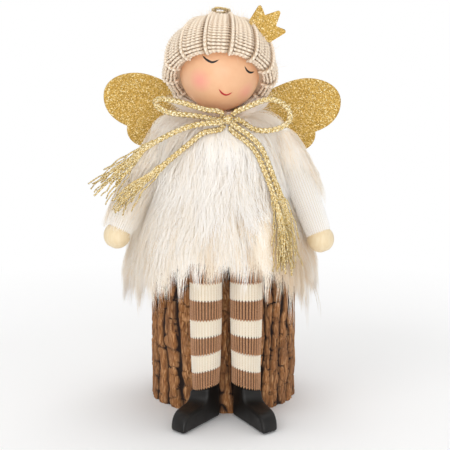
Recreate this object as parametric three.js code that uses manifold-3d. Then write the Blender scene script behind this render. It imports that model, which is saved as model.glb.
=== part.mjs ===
// Seated angel doll: a wooden ball head in a knitted hat, a long-pile coat with felt wings, knitted
// sleeves with bead hands, and knitted legs in black boots, sitting on a log that has its bark on.
// Millimetres, +Z up. The doll faces -Y, and the origin is the centre of the log's underside.
import * as THREE from 'three';
import { mergeVertices } from 'three/addons/utils/BufferGeometryUtils.js';
import Module from 'manifold-3d';

const wasm = await Module();
wasm.setup();

// Clearances
const FIT = 0.3; // gap left between two pieces that touch
const SWING_ROOM = 0.7; // room cut round a limb that swings

// Log
const LOG_RADIUS = 40;
const LOG_HEIGHT = 84;
const BARK_RISE = 1.2; // how far the bark's ridges stand out of the round
const BARK_FURROW = 2.2; // from the top of a ridge to the foot of a furrow
const RIDGE_COUNT = 30;
const RIDGE_STEPS = 6; // corners of the outline for each ridge
const RIDGE_SWAY = 0.13; // radians that the ridges stray from even spacing

// The doll's upright axis, a little in front of the log's
const DOLL_X = -2;
const DOLL_Y = -4;

// Dowels that pin the body to the log and the head to the body
const SEAT_DOWEL_RADIUS = 4;
const SEAT_DOWEL_DEPTH = 14;
const NECK_DOWEL_RADIUS = 4;
const NECK_DOWEL_IN_BODY = 25;
const NECK_DOWEL_IN_HEAD = 14;

// Stuffed body, from the seat up to the neck
const BODY_HEIGHT = 80.9;
const BODY_SEAT_RADIUS = 36;
const BODY_LAP_RADIUS = 40;
const BODY_LAP_RISE = 8;
const BODY_WAIST_RADIUS = 29;
const BODY_WAIST_RISE = 36;
const BODY_CHEST_RADIUS = 18;
const BODY_CHEST_DROP = 10; // below the foot of the neck
const BODY_NECK_RADIUS = 7.5;
const BODY_NECK_LENGTH = 8;

// Head and hat
const HEAD_RADIUS = 22.5;
const HAT_WALL = 9;
const HAT_COVER = 96; // degrees from the hat's axis to the middle of its brim
const HAT_TILT_BACK = 44;
const HAT_TILT_SIDE = 4;

// Felt crown on the hat
const CROWN_THICK = 2;
const CROWN_BASE = 15;
const CROWN_SPAN = 20; // across the outer tips
const CROWN_TIP_HEIGHT = 14.7;
const CROWN_SIDE_HEIGHT = 9.3;
const CROWN_VALLEY_HEIGHT = 6.6;
const CROWN_VALLEY_SPAN = 7.8;
const CROWN_LEAN = 41; // degrees clockwise, seen from the front
const CROWN_FORWARD = 3; // in front of the head's centre

// Coat: radii and heights of its outline about the doll's axis
const COLLAR_RADIUS = 17;
const SHOULDER_RADIUS = 31;
const SHOULDER_DROP = 15.2; // below the top of the neck
const CHEST_RADIUS = 36;
const CHEST_DROP = 28; // below the top of the neck
const BELLY_RADIUS = 40.5;
const BELLY_RISE = 34; // above the seat
const LAP_RADIUS = 50;
const LAP_RISE = 14; // above the seat
const LAP_PUSH = 9; // how far the knees push the front out
const BELLY_PUSH = 8.5; // the same at the belly and the chest
const CHEST_PUSH = 4.5;
const BACK_RADIUS = 30; // flatter back, where the wings lie
const BACK_SLOPE = 2.5; // how far the back leans in at the shoulders
const HEM_RADIUS = 56;
const HEM_SIDE_DROP = 28; // below the seat, at the sides and the back
const HEM_FRONT_RISE = 6; // above the seat, between the knees
const FOLD_COUNT = 9;
const FOLD_DEPTH = 1.4;
const COAT_COLUMNS = 36;
const COAT_ROWS = 10;

// Felt wings, one piece: places on the right half, from the middle of the wings
const WING_THICK = 2;
const WING_MIDDLE_X = -1.2;
const WING_MIDDLE_DROP = 12; // below the top of the neck
const WING_LEAN = 1.8; // degrees clockwise, seen from the front
const WING_SPAN = 137;
const WING_TOP = new THREE.Vector2(49.5, 28);
const WING_EDGE_RISE = 14.5;
const WING_NOTCH = new THREE.Vector2(54.5, -3);
const WING_FOOT = new THREE.Vector2(44.5, -14.5);
const WING_WAIST_TOP = 6;
const WING_WAIST_FOOT = -9;

// Arms
const ARM_LENGTH = 59.2; // shoulder to the middle of the bead
const ARM_SPREAD = 34; // shoulder from the middle
const ARM_FORWARD_PLACE = -10; // shoulder's place along Y
const ARM_LEAN_FORWARD = 14; // degrees
const ARM_SPLAY_LEFT = 26; // degrees outwards
const ARM_SPLAY_RIGHT = 20.5;
const ARM_RAISE = 60; // degrees an arm lifts sideways
const SLEEVE_TOP_RADIUS = 7.4;
const SLEEVE_ELBOW_RADIUS = 8.5;
const SLEEVE_CUFF_RADIUS = 7.3;
const CUFF_LAP = 4.5; // from the bead's middle to the sleeve's end
const BEAD_RADIUS = 7.5;
const ARM_CORD_RADIUS = 1.7;

// Legs and boots
const LEG_MIDDLE_X = 1.4;
const LEG_SPREAD = 11;
const HIP_RISE = 9; // above the seat
const LEG_SWING = 40; // degrees a leg lifts forwards
const LEG_TOP_RADIUS = 8.6;
const LEG_CALF_RADIUS = 8.9;
const LEG_HEM_RADIUS = 7.7;
const LEG_DOWEL_RADIUS = 3;
const BOOT_TOE = 31.5; // in front of the leg's axis
const BOOT_HEEL = 7.2; // behind it, at the sole
const BOOT_SHAFT = 6.4; // half the shaft's depth
const BOOT_WIDTH = 12;
const BOOT_SHIFT = 1; // the bore lies this much nearer the inner side
const BOOT_HEIGHT = 19.2;
const BOOT_FOOT_HEIGHT = 10.5;
const BOOT_TOE_ROUND = 8.5;
const BOOT_END_WIDTH = 10.5;
const BOOT_EASE = 1.6;
const BOOT_INSTEP = 4.5; // round between the foot and the shaft
const BOOT_SOLE_GAP = 0.4; // soles hang just clear of the ground
const BOOT_TURN_LEFT = 30; // degrees the toes turn out
const BOOT_TURN_RIGHT = 25;

// Gold cord round the neck, tied in a bow, and the hanging loop on the hat
const CORD_RADIUS = 1.3;
const NECK_CORD_RADIUS = 15.5;
const NECK_CORD_DROP = 4.9; // below the top of the neck
const NECK_CORD_TILT = 10; // degrees, front up
const KNOT_PLACE = new THREE.Vector3(2.4, -26.2, -1.6); // heights from the top of the neck
const KNOT_SIZE = new THREE.Vector3(3.2, 2.8, 3.5); // half sizes
const CORD_STRIDE = 2.5; // diameters in one step along a cord
const HANG_CORD_RADIUS = 1.1;

// Worked-out places
const SEAT_Z = LOG_HEIGHT + FIT;
const NECK_TOP_Z = SEAT_Z + BODY_HEIGHT;
const NECK_FOOT_Z = NECK_TOP_Z - BODY_NECK_LENGTH;
const HEAD_Z = NECK_TOP_Z + FIT + HEAD_RADIUS;
const HAT_INNER = HEAD_RADIUS + FIT;
const HAT_OUTER = HAT_INNER + HAT_WALL;
const SHOULDER_Z = NECK_TOP_Z - SHOULDER_DROP;
const HIP_Z = SEAT_Z + HIP_RISE;
const HEM_Z = BOOT_SOLE_GAP + BOOT_HEIGHT + FIT;
const LEG_LENGTH = HIP_Z - HEM_Z;
const WING_Y = DOLL_Y + BACK_RADIUS + FIT;
const NECK_CORD_Z = NECK_TOP_Z - NECK_CORD_DROP;
const NECK_CORD_Y = KNOT_PLACE.y + KNOT_SIZE.y + FIT + CORD_RADIUS + NECK_CORD_RADIUS;

const RAD = Math.PI / 180;
const ROUND = 24; // facets round a turned piece
const LIMB_ROUND = 16;

function finish(color, roughness, metalness = 0) {
  return new THREE.MeshStandardMaterial({ color, roughness, metalness });
}

const bark = finish(0x8b5e3a, 0.95);
const paleWood = finish(0xefd9b0, 0.5);
const dowelWood = finish(0xdcbf92, 0.7);
const skin = finish(0xf0c49a, 0.55);
const stuffing = finish(0xede6da, 0.95);
const beigeKnit = finish(0xdcc7ae, 0.95);
const creamKnit = finish(0xf3e9d8, 0.95);
const stripedKnit = finish(0xa57b5e, 0.95);
const pile = finish(0xf3eee6, 0.9);
const goldFelt = finish(0xb8892b, 0.6, 0.4);
const goldCord = finish(0xe6cf7a, 0.4, 0.5);
const blackPaint = finish(0x2c2a29, 0.45);

const doll = new THREE.Group();

function place(parent, name, geometry, material) {
  const mesh = new THREE.Mesh(geometry, material);
  mesh.name = name;
  parent.add(mesh);
  return mesh;
}

// A geometry as a solid that can be cut, and back again
function toSolid(geometry) {
  const plain = geometry.clone();
  plain.deleteAttribute('normal');
  plain.deleteAttribute('uv');
  const merged = mergeVertices(plain, 1e-4);
  return new wasm.Manifold(new wasm.Mesh({
    numProp: 3,
    vertProperties: Float32Array.from(merged.attributes.position.array),
    triVerts: Uint32Array.from(merged.index.array),
  }));
}

function toGeometry(solid) {
  const mesh = solid.getMesh();
  const geometry = new THREE.BufferGeometry();
  const corners = new THREE.BufferAttribute(Float32Array.from(mesh.vertProperties), 3);
  geometry.setAttribute('position', corners);
  geometry.setIndex(new THREE.BufferAttribute(Uint32Array.from(mesh.triVerts), 1));
  geometry.computeVertexNormals();
  return geometry;
}

function cut(geometry, tools) {
  let solid = toSolid(geometry);
  for (const tool of tools) {
    solid = solid.subtract(toSolid(tool));
  }
  return toGeometry(solid);
}

// A profile of [radius, height] turned about the Z axis
function turned(profile, facets = ROUND) {
  const points = profile.map(([radius, height]) => new THREE.Vector2(radius, height));
  return new THREE.LatheGeometry(points, facets).rotateX(Math.PI / 2);
}

// Points of a circle in the profile's plane, with angles in degrees from the +Z axis
function arc(radius, from, to, steps, middle = 0) {
  return Array.from({ length: steps + 1 }, (_, i) => {
    const angle = (from + (to - from) * i / steps) * RAD;
    return [Math.max(0, radius * Math.sin(angle)), middle + radius * Math.cos(angle)];
  });
}

// A round bar between two heights
function bar(radius, low, high, facets = LIMB_ROUND) {
  return turned([[0, low], [radius, low], [radius, high], [0, high]], facets);
}

// A flat outline in the XZ plane, with its front face at y = 0 and its thickness behind it
function plate(shape, thick) {
  const flat = new THREE.ExtrudeGeometry(shape, { depth: thick, bevelEnabled: false, curveSegments: 8 });
  return flat.rotateX(Math.PI / 2).translate(0, thick, 0);
}

// Log with its bark: upright ridges round it, and a blind hole in the top for the seat dowel
function logGeometry() {
  const count = RIDGE_COUNT * RIDGE_STEPS;
  const outline = Array.from({ length: count }, (_, i) => {
    const even = 2 * Math.PI * i / count;
    const turn = even + RIDGE_SWAY * Math.sin(3 * even);
    const dip = 0.5 - 0.5 * Math.cos(RIDGE_COUNT * even);
    const radius = LOG_RADIUS + BARK_RISE - BARK_FURROW * dip ** 4;
    return new THREE.Vector2(radius * Math.cos(turn), radius * Math.sin(turn));
  });
  const round = new THREE.ExtrudeGeometry(new THREE.Shape(outline), {
    depth: LOG_HEIGHT,
    bevelEnabled: false,
  });
  const hole = bar(SEAT_DOWEL_RADIUS + FIT, LOG_HEIGHT - SEAT_DOWEL_DEPTH - FIT, LOG_HEIGHT + 1);
  return cut(round, [hole.translate(DOLL_X, DOLL_Y, 0)]);
}

// Frames and cutters of the limbs
function armFrame(side) {
  const splay = side < 0 ? ARM_SPLAY_LEFT : ARM_SPLAY_RIGHT;
  const along = new THREE.Vector3(side * Math.tan(splay * RAD), -Math.tan(ARM_LEAN_FORWARD * RAD), -1);
  const down = new THREE.Vector3(0, 0, -1);
  const hang = new THREE.Quaternion().setFromUnitVectors(down, along.normalize());
  const shoulder = new THREE.Vector3(side * ARM_SPREAD, ARM_FORWARD_PLACE, SHOULDER_Z);
  return new THREE.Matrix4().compose(shoulder, hang, new THREE.Vector3(1, 1, 1));
}

// The leg stands off the log by its own radius, so that it hangs against the bark
function legFrame(side) {
  const x = LEG_MIDDLE_X + side * LEG_SPREAD;
  const reach = LOG_RADIUS + BARK_RISE + FIT + LEG_CALF_RADIUS;
  return new THREE.Matrix4().makeTranslation(x, -Math.sqrt(reach * reach - x * x), HIP_Z);
}

function sleeveOutline(grow = 0) {
  const dome = arc(SLEEVE_TOP_RADIUS + grow, 0, 90, 4);
  return [
    ...dome,
    [SLEEVE_ELBOW_RADIUS + grow, -0.5 * ARM_LENGTH],
    [SLEEVE_CUFF_RADIUS + grow, CUFF_LAP - ARM_LENGTH - grow],
  ];
}

function legOutline(grow = 0) {
  const dome = arc(LEG_TOP_RADIUS + grow, 0, 90, 4);
  return [
    ...dome,
    [LEG_CALF_RADIUS + grow, -0.3 * LEG_LENGTH],
    [LEG_HEM_RADIUS + grow, -LEG_LENGTH - grow],
  ];
}

// Side view of the space that a limb sweeps about its pivot: u points outwards and v up, the limb
// hangs at the rest angle from straight down, and lifts by the range
function swingShape(radius, length, rest, range) {
  const across = (degrees, out, along) => {
    const angle = degrees * RAD;
    const u = along * Math.sin(angle) + out * Math.cos(angle);
    const v = out * Math.sin(angle) - along * Math.cos(angle);
    return new THREE.Vector2(u, v);
  };
  const steps = 6;
  const over = Array.from({ length: steps + 1 }, (_, i) => {
    return across(180 + rest + (range - 180) * i / steps, radius, 0);
  });
  const far = length + radius;
  return new THREE.Shape([across(rest, -radius, far), ...over, across(rest + range, radius, far)]);
}

function slotCutter(shape, half, outwards, middle) {
  const slot = new THREE.ExtrudeGeometry(shape, { depth: 2 * half, bevelEnabled: false });
  slot.translate(0, 0, -half);
  const up = new THREE.Vector3(0, 0, 1);
  const turn = new THREE.Matrix4().makeBasis(outwards, up, outwards.clone().cross(up));
  return slot.applyMatrix4(turn.setPosition(middle));
}

// Room in the coat for both arms and both legs, at rest and along their swings
function limbSlots() {
  const sleeve = SLEEVE_ELBOW_RADIUS + SWING_ROOM;
  const leg = LEG_CALF_RADIUS + SWING_ROOM;
  return [-1, 1].flatMap((side) => {
    const splay = side < 0 ? ARM_SPLAY_LEFT : ARM_SPLAY_RIGHT;
    const lean = ARM_LENGTH / 4 * Math.tan(ARM_LEAN_FORWARD * RAD);
    const shoulder = new THREE.Vector3().setFromMatrixPosition(armFrame(side));
    shoulder.y -= lean;
    const hip = new THREE.Vector3().setFromMatrixPosition(legFrame(side));
    const armSlot = swingShape(sleeve, ARM_LENGTH, splay, ARM_RAISE);
    const legSlot = swingShape(leg, LEG_LENGTH, 0, LEG_SWING);
    return [
      slotCutter(armSlot, sleeve + lean, new THREE.Vector3(side, 0, 0), shoulder),
      slotCutter(legSlot, leg, new THREE.Vector3(0, -1, 0), hip),
    ];
  });
}

// Stuffed body: swells at the lap, tapers to the neck, with hollows where the legs hang
const bodyStations = [
  [BODY_SEAT_RADIUS, SEAT_Z],
  [BODY_LAP_RADIUS, SEAT_Z + BODY_LAP_RISE],
  [BODY_WAIST_RADIUS, SEAT_Z + BODY_WAIST_RISE],
  [BODY_CHEST_RADIUS, NECK_FOOT_Z - BODY_CHEST_DROP],
  [BODY_NECK_RADIUS, NECK_FOOT_Z],
  [BODY_NECK_RADIUS, NECK_TOP_Z],
];

function bodyGeometry() {
  const seatBore = SEAT_DOWEL_RADIUS + FIT;
  const seatBoreTop = SEAT_Z + SEAT_DOWEL_DEPTH + FIT;
  const neckBore = NECK_DOWEL_RADIUS + FIT;
  const neckBoreFoot = NECK_TOP_Z - NECK_DOWEL_IN_BODY - FIT;
  const profile = [
    [0, seatBoreTop],
    [seatBore, seatBoreTop],
    [seatBore, SEAT_Z],
    ...bodyStations,
    [neckBore, NECK_TOP_Z],
    [neckBore, neckBoreFoot],
    [0, neckBoreFoot],
  ];
  const turnedBody = turned(profile, 32).translate(DOLL_X, DOLL_Y, 0);
  const hollows = [-1, 1].map((side) => {
    const outline = legOutline(FIT);
    const closed = [...outline, [0, outline.at(-1)[1]]].reverse();
    return turned(closed, LIMB_ROUND).applyMatrix4(legFrame(side));
  });
  return cut(turnedBody, hollows);
}

// The neck cord lies in a plane that tips up at the front, and the collar follows it
function neckPlane(y) {
  return NECK_CORD_Z - (y - NECK_CORD_Y) * Math.tan(NECK_CORD_TILT * RAD);
}

// Distance from the doll's axis to the log's rim, in a direction round that axis
function logReach(across, along) {
  const middle = DOLL_X * across + DOLL_Y * along;
  const offset = DOLL_X * DOLL_X + DOLL_Y * DOLL_Y;
  return Math.sqrt(middle * middle - offset + LOG_RADIUS * LOG_RADIUS) - middle;
}

// One upright section of the coat, as a closed loop: down its outside and up its inside
function coatSection(turn) {
  const across = Math.sin(turn);
  const along = -Math.cos(turn);
  const front = Math.max(0, -along) ** 3;
  const back = Math.max(0, along) ** 2;
  const rim = logReach(across, along);
  const collarZ = neckPlane(DOLL_Y + COLLAR_RADIUS * along) - CORD_RADIUS - FIT;
  const innerCollarZ = neckPlane(DOLL_Y + BODY_NECK_RADIUS * along) - CORD_RADIUS - FIT;
  const sideHem = SEAT_Z - HEM_SIDE_DROP;
  const rise = Math.max(0, -along) ** 4;
  const hemZ = sideHem + (HEM_SIDE_DROP + HEM_FRONT_RISE) * rise;
  const flat = (radius, ease = 0) => radius - back * (radius - BACK_RADIUS + ease);
  const outer = new THREE.CatmullRomCurve3([
    new THREE.Vector3(COLLAR_RADIUS, 0, collarZ),
    new THREE.Vector3(flat(SHOULDER_RADIUS, BACK_SLOPE), 0, SHOULDER_Z),
    new THREE.Vector3(flat(CHEST_RADIUS) + CHEST_PUSH * front, 0, NECK_TOP_Z - CHEST_DROP),
    new THREE.Vector3(flat(BELLY_RADIUS) + BELLY_PUSH * front, 0, SEAT_Z + BELLY_RISE),
    new THREE.Vector3(LAP_RADIUS + LAP_PUSH * front, 0, SEAT_Z + LAP_RISE),
    new THREE.Vector3(HEM_RADIUS + front * LAP_PUSH / 2, 0, hemZ),
  ]);
  const loop = outer.getPoints(COAT_ROWS).map((point, row) => {
    const fold = FOLD_DEPTH * Math.cos(FOLD_COUNT * turn) * (row / COAT_ROWS) ** 2;
    return [point.x + fold, point.z];
  });
  const clear = BARK_RISE + 3 * FIT;
  const overLog = Math.max(LOG_HEIGHT + 3 * FIT, hemZ + 1);
  const wide = Math.max(rim, BODY_LAP_RADIUS) + clear;
  loop.push([wide, hemZ]);
  loop.push([wide, overLog]);
  for (const [radius, height] of bodyStations.slice(1, -1)) {
    if (height > overLog + 1) {
      loop.push([radius + 2 * FIT, height]);
    } else {
      loop.push([wide, overLog + 1]);
    }
  }
  loop.push([BODY_NECK_RADIUS + 2 * FIT, innerCollarZ]);
  return loop.map(([radius, z]) => [DOLL_X + radius * across, DOLL_Y + radius * along, z]);
}

// Coat: sections joined all round, then cut where the arms and legs lie and swing
function coatGeometry() {
  const sections = Array.from({ length: COAT_COLUMNS }, (_, i) => {
    return coatSection(2 * Math.PI * i / COAT_COLUMNS);
  });
  const loop = sections[0].length;
  const faces = [];
  sections.forEach((_, i) => {
    const next = (i + 1) % COAT_COLUMNS;
    for (let j = 0; j < loop; j += 1) {
      const below = (j + 1) % loop;
      const corner = [i * loop + j, i * loop + below, next * loop + below, next * loop + j];
      faces.push(corner[0], corner[1], corner[2], corner[0], corner[2], corner[3]);
    }
  });
  const geometry = new THREE.BufferGeometry();
  geometry.setAttribute('position', new THREE.Float32BufferAttribute(sections.flat(2), 3));
  geometry.setIndex(faces);
  return cut(geometry, limbSlots());
}

// Wings: an upper and a lower lobe on each side, in one flat piece
function wingShape() {
  const half = WING_SPAN / 2;
  const shape = new THREE.Shape();
  const curves = [
    [[16, 12], [34, WING_TOP.y], [WING_TOP.x, WING_TOP.y]],
    [[half - 8, WING_TOP.y], [half, WING_EDGE_RISE + 8], [half, WING_EDGE_RISE]],
    [[half, WING_EDGE_RISE - 9], [WING_NOTCH.x + 8, WING_NOTCH.y + 3], [WING_NOTCH.x, WING_NOTCH.y]],
    [[WING_NOTCH.x + 1, WING_FOOT.y + 5], [WING_FOOT.x + 6, WING_FOOT.y], [WING_FOOT.x, WING_FOOT.y]],
    [[WING_FOOT.x - 14, WING_FOOT.y], [16, WING_WAIST_FOOT], [0, WING_WAIST_FOOT]],
  ];
  shape.moveTo(0, WING_WAIST_TOP);
  for (const [a, b, c] of curves) {
    shape.bezierCurveTo(a[0], a[1], b[0], b[1], c[0], c[1]);
  }
  // The left half runs back along the same curves, mirrored
  const starts = [[0, WING_WAIST_TOP], ...curves.map((curve) => curve[2])];
  for (let i = curves.length - 1; i >= 0; i -= 1) {
    const [a, b] = curves[i];
    const end = starts[i];
    shape.bezierCurveTo(-b[0], b[1], -a[0], a[1], -end[0], end[1]);
  }
  return shape;
}

// Crown: three points on a base that is cut to the hat's curve
function crownGeometry() {
  const depth = HAT_WALL / 2;
  const shape = new THREE.Shape([
    [-CROWN_BASE / 2, -depth],
    [CROWN_BASE / 2, -depth],
    [CROWN_BASE / 2, 0],
    [CROWN_SPAN / 2, CROWN_SIDE_HEIGHT],
    [CROWN_VALLEY_SPAN / 2, CROWN_VALLEY_HEIGHT],
    [0, CROWN_TIP_HEIGHT],
    [-CROWN_VALLEY_SPAN / 2, CROWN_VALLEY_HEIGHT],
    [-CROWN_SPAN / 2, CROWN_SIDE_HEIGHT],
    [-CROWN_BASE / 2, 0],
  ].map(([x, y]) => new THREE.Vector2(x, y)));
  const flat = plate(shape, CROWN_THICK).translate(0, -CROWN_FORWARD - CROWN_THICK, HAT_OUTER);
  flat.rotateY(CROWN_LEAN * RAD + HAT_TILT_SIDE * RAD);
  const hatForm = turned(arc(HAT_OUTER + FIT, 180, 0, 24), 48);
  return cut(flat, [hatForm]);
}

function headGeometry() {
  const bore = NECK_DOWEL_RADIUS + FIT;
  const boreTop = -HEAD_RADIUS + NECK_DOWEL_IN_HEAD + FIT;
  const mouth = 180 - Math.asin(bore / HEAD_RADIUS) / RAD;
  return turned([[0, boreTop], [bore, boreTop], ...arc(HEAD_RADIUS, mouth, 0, 16)], 32);
}

// Hat: a thick cap with a rolled brim, tipped back off the face
function hatGeometry() {
  const half = HAT_WALL / 2;
  const middle = HAT_INNER + half;
  const cover = HAT_COVER * RAD;
  const brim = [45, 90, 135].map((degrees) => {
    const out = middle - half * Math.cos(degrees * RAD);
    const past = half * Math.sin(degrees * RAD);
    return [out * Math.sin(cover) + past * Math.cos(cover), out * Math.cos(cover) - past * Math.sin(cover)];
  });
  const profile = [...arc(HAT_INNER, 0, HAT_COVER, 8), ...brim, ...arc(HAT_OUTER, HAT_COVER, 0, 10)];
  return turned(profile, 32);
}

// A cord along a curve through chosen points
function cordGeometry(points, radius) {
  const route = new THREE.CatmullRomCurve3(points.map((p) => new THREE.Vector3(...p)));
  const sides = 8;
  const section = new THREE.Shape(Array.from({ length: sides }, (_, i) => {
    const turn = 2 * Math.PI * i / sides;
    return new THREE.Vector2(radius * Math.cos(turn), radius * Math.sin(turn));
  }));
  const steps = Math.round(route.getLength() / (2 * radius * CORD_STRIDE));
  return new THREE.ExtrudeGeometry(section, { steps, extrudePath: route, bevelEnabled: false });
}

// Log, dowels, body, coat and wings
place(doll, 'log_seat', logGeometry(), bark);

const seatDowel = bar(SEAT_DOWEL_RADIUS, LOG_HEIGHT - SEAT_DOWEL_DEPTH, SEAT_Z + SEAT_DOWEL_DEPTH);
place(doll, 'seat_dowel', seatDowel.translate(DOLL_X, DOLL_Y, 0), dowelWood);
place(doll, 'stuffed_body', bodyGeometry(), stuffing);
const neckDowelTop = HEAD_Z - HEAD_RADIUS + NECK_DOWEL_IN_HEAD;
const neckDowel = bar(NECK_DOWEL_RADIUS, NECK_TOP_Z - NECK_DOWEL_IN_BODY, neckDowelTop);
place(doll, 'neck_dowel', neckDowel.translate(DOLL_X, DOLL_Y, 0), dowelWood);
place(doll, 'fur_coat', coatGeometry(), pile);

const wings = place(doll, 'wings', plate(wingShape(), WING_THICK), goldFelt);
wings.position.set(WING_MIDDLE_X, WING_Y, NECK_TOP_Z - WING_MIDDLE_DROP);
wings.rotation.y = WING_LEAN * RAD;

// Head with its hat, crown and hanging loop, about the head's centre
const head = new THREE.Group();
head.position.set(DOLL_X, DOLL_Y, HEAD_Z);
doll.add(head);
place(head, 'head_ball', headGeometry(), skin);
const hat = place(head, 'hat', hatGeometry(), beigeKnit);
hat.rotation.set(-HAT_TILT_BACK * RAD, HAT_TILT_SIDE * RAD, 0, 'YXZ');
place(head, 'crown', crownGeometry(), goldFelt);
const hangingLoop = [
  [-3, 5, 31.8], [-3.1, 4.6, 33.7], [-0.4, 4.2, 34.1], [2.6, 5.2, 33.5], [4.6, 9, 32.6],
  [4, 13.2, 31.2], [0.2, 15.4, 30.4], [-3.2, 13, 31.4], [-3.4, 9.8, 33], [-3.2, 8.4, 31.2],
];
place(head, 'hat_loop', cordGeometry(hangingLoop, HANG_CORD_RADIUS), goldCord);

// Neck cord, knot, loops and tails of the bow
const bow = new THREE.Group();
bow.position.z = NECK_TOP_Z;
doll.add(bow);
const ring = new THREE.TorusGeometry(NECK_CORD_RADIUS, CORD_RADIUS, 8, ROUND);
const neckCord = place(bow, 'neck_cord', ring, goldCord);
neckCord.position.set(DOLL_X, NECK_CORD_Y, -NECK_CORD_DROP);
neckCord.rotation.x = -NECK_CORD_TILT * RAD;
const knot = turned(arc(1, 180, 0, 8), 12).scale(KNOT_SIZE.x, KNOT_SIZE.y, KNOT_SIZE.z);
place(bow, 'bow_knot', knot, goldCord).position.copy(KNOT_PLACE);

const bowRoutes = {
  bow_loop_left: [
    [-0.1, -25.1, 0.7], [-1.9, -24.4, 2.4], [-10.1, -26, 3.9], [-15, -27, 5.5],
    [-22.1, -27, 7.7], [-29, -25, 8.9], [-34.8, -22.5, 9.3], [-37.5, -20.5, 7.3],
    [-36, -21.5, 4.7], [-31.5, -24.5, 2.6], [-25.9, -27, 1.7], [-19.4, -28, 1.3],
    [-12.3, -27.5, 0.3], [-3.7, -25.6, -1.9], [-1.1, -25.8, -1.8],
  ],
  bow_loop_right: [
    [4.9, -25.1, 0.7], [6.7, -24.4, 2.4], [9.6, -26, 3.9], [14.8, -26.8, 6.3],
    [19.7, -27, 8.3], [24.7, -27, 9.6], [29.7, -26, 8.6], [34, -25, 5.7],
    [36.5, -24.5, 1.2], [35.4, -25.5, -3.3], [31.5, -27.5, -5.8], [26.5, -29.5, -6.9],
    [21.6, -30, -7.2], [16.4, -29.5, -6.3], [8.5, -25.6, -1.9], [5.9, -25.8, -1.8],
  ],
  tail_left_upper: [
    [0.1, -28.5, -2.1], [-1.7, -30.3, -2.5], [-12.2, -33.5, -2.9], [-19.2, -35, -4.3],
    [-25.8, -36, -6.7], [-33.4, -36.5, -10.4], [-43.7, -36.5, -16.7], [-53.7, -36, -25.7],
    [-63.1, -35.5, -34.6], [-70.9, -35, -42.5],
  ],
  tail_left_lower: [
    [0.2, -26.6, -4.5], [-1.3, -26.8, -6.6], [-11.1, -32.5, -8], [-19.3, -35, -14.2],
    [-27.7, -37, -20.8], [-38.9, -39, -29.8], [-47.1, -39.5, -36.1], [-53.7, -39.5, -43.1],
    [-59.3, -39, -51.2],
  ],
  tail_right_front: [
    [4.4, -28.5, -2.9], [5.9, -30.3, -4], [15, -34.5, -9.9], [20.4, -36.5, -15.6],
    [26.4, -39, -29], [29.7, -40.5, -38.7], [33, -42.5, -48.3], [34.8, -46, -57.5],
    [35.8, -52, -69.8], [37, -57, -82.2],
  ],
  tail_right_back: [
    [3.7, -26.6, -5.1], [4.6, -26.8, -7.5], [11.5, -32, -12], [17.2, -35, -17.3],
    [23.1, -39.5, -29.5], [26.4, -41.5, -38.5], [29.6, -44, -48], [31.5, -47.5, -57.2],
    [32.5, -53.5, -69.5], [33.5, -58.5, -80.8],
  ],
};
for (const [name, points] of Object.entries(bowRoutes)) {
  place(bow, name, cordGeometry(points, CORD_RADIUS), goldCord);
}

// Arms: a stuffed knitted sleeve on a cord that ends in a bead
function buildArm(word, side) {
  const arm = new THREE.Group();
  arm.applyMatrix4(armFrame(side));
  doll.add(arm);
  const bore = ARM_CORD_RADIUS + FIT;
  const cordTop = -SLEEVE_TOP_RADIUS;
  const seat = BEAD_RADIUS + FIT;
  const lip = Math.acos(CUFF_LAP / seat) / RAD;
  const mouth = Math.asin(bore / seat) / RAD;
  const profile = [
    ...sleeveOutline(),
    ...arc(seat, lip, mouth, 4, -ARM_LENGTH),
    [bore, cordTop + FIT],
    [0, cordTop + FIT],
  ].reverse();
  place(arm, `${word}_sleeve`, turned(profile, LIMB_ROUND), creamKnit);
  const cordFoot = -ARM_LENGTH - BEAD_RADIUS / 2;
  place(arm, `${word}_arm_cord`, bar(ARM_CORD_RADIUS, cordFoot, cordTop, 8), stuffing);
  const eye = Math.asin(bore / BEAD_RADIUS) / RAD;
  const ball = arc(BEAD_RADIUS, 180 - eye, eye, 12);
  place(arm, `${word}_hand`, turned([...ball, ball[0]]), paleWood).position.z = -ARM_LENGTH;
}

// A boot sawn from board with its edges eased; its inner side is flat, its outer side closes in at the
// toe and the heel
function bootGeometry(side) {
  const shaft = BOOT_SHAFT;
  const toe = BOOT_TOE;
  const top = BOOT_FOOT_HEIGHT;
  const shape = new THREE.Shape();
  shape.moveTo(-BOOT_HEEL, 0);
  shape.lineTo(toe, 0);
  shape.bezierCurveTo(toe, top - 2, toe - BOOT_TOE_ROUND / 2, top, toe - BOOT_TOE_ROUND, top);
  shape.lineTo(shaft + BOOT_INSTEP, top);
  shape.quadraticCurveTo(shaft, top, shaft, top + BOOT_INSTEP);
  shape.lineTo(shaft, BOOT_HEIGHT);
  shape.lineTo(-shaft, BOOT_HEIGHT);
  const block = new THREE.ExtrudeGeometry(shape, {
    depth: BOOT_WIDTH - 2 * BOOT_EASE,
    bevelThickness: BOOT_EASE,
    bevelSize: BOOT_EASE,
    bevelOffset: -BOOT_EASE,
    bevelSegments: 2,
    curveSegments: 5,
  });
  block.translate(0, 0, BOOT_EASE - BOOT_WIDTH / 2);
  const forward = new THREE.Vector3(0, -1, 0);
  const up = new THREE.Vector3(0, 0, 1);
  block.applyMatrix4(new THREE.Matrix4().makeBasis(forward, up, new THREE.Vector3(-1, 0, 0)));
  const spots = block.attributes.position;
  const inner = -side * (BOOT_WIDTH / 2);
  for (let i = 0; i < spots.count; i += 1) {
    const share = Math.max(-spots.getY(i) / toe, spots.getY(i) / BOOT_HEEL);
    const narrow = 1 + share * (BOOT_END_WIDTH / BOOT_WIDTH - 1);
    spots.setX(i, inner + (spots.getX(i) - inner) * narrow + side * BOOT_SHIFT);
  }
  const bore = bar(LEG_DOWEL_RADIUS + FIT, BOOT_HEIGHT / 2 - FIT, BOOT_HEIGHT + 1);
  return cut(block, [bore]);
}

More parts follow.
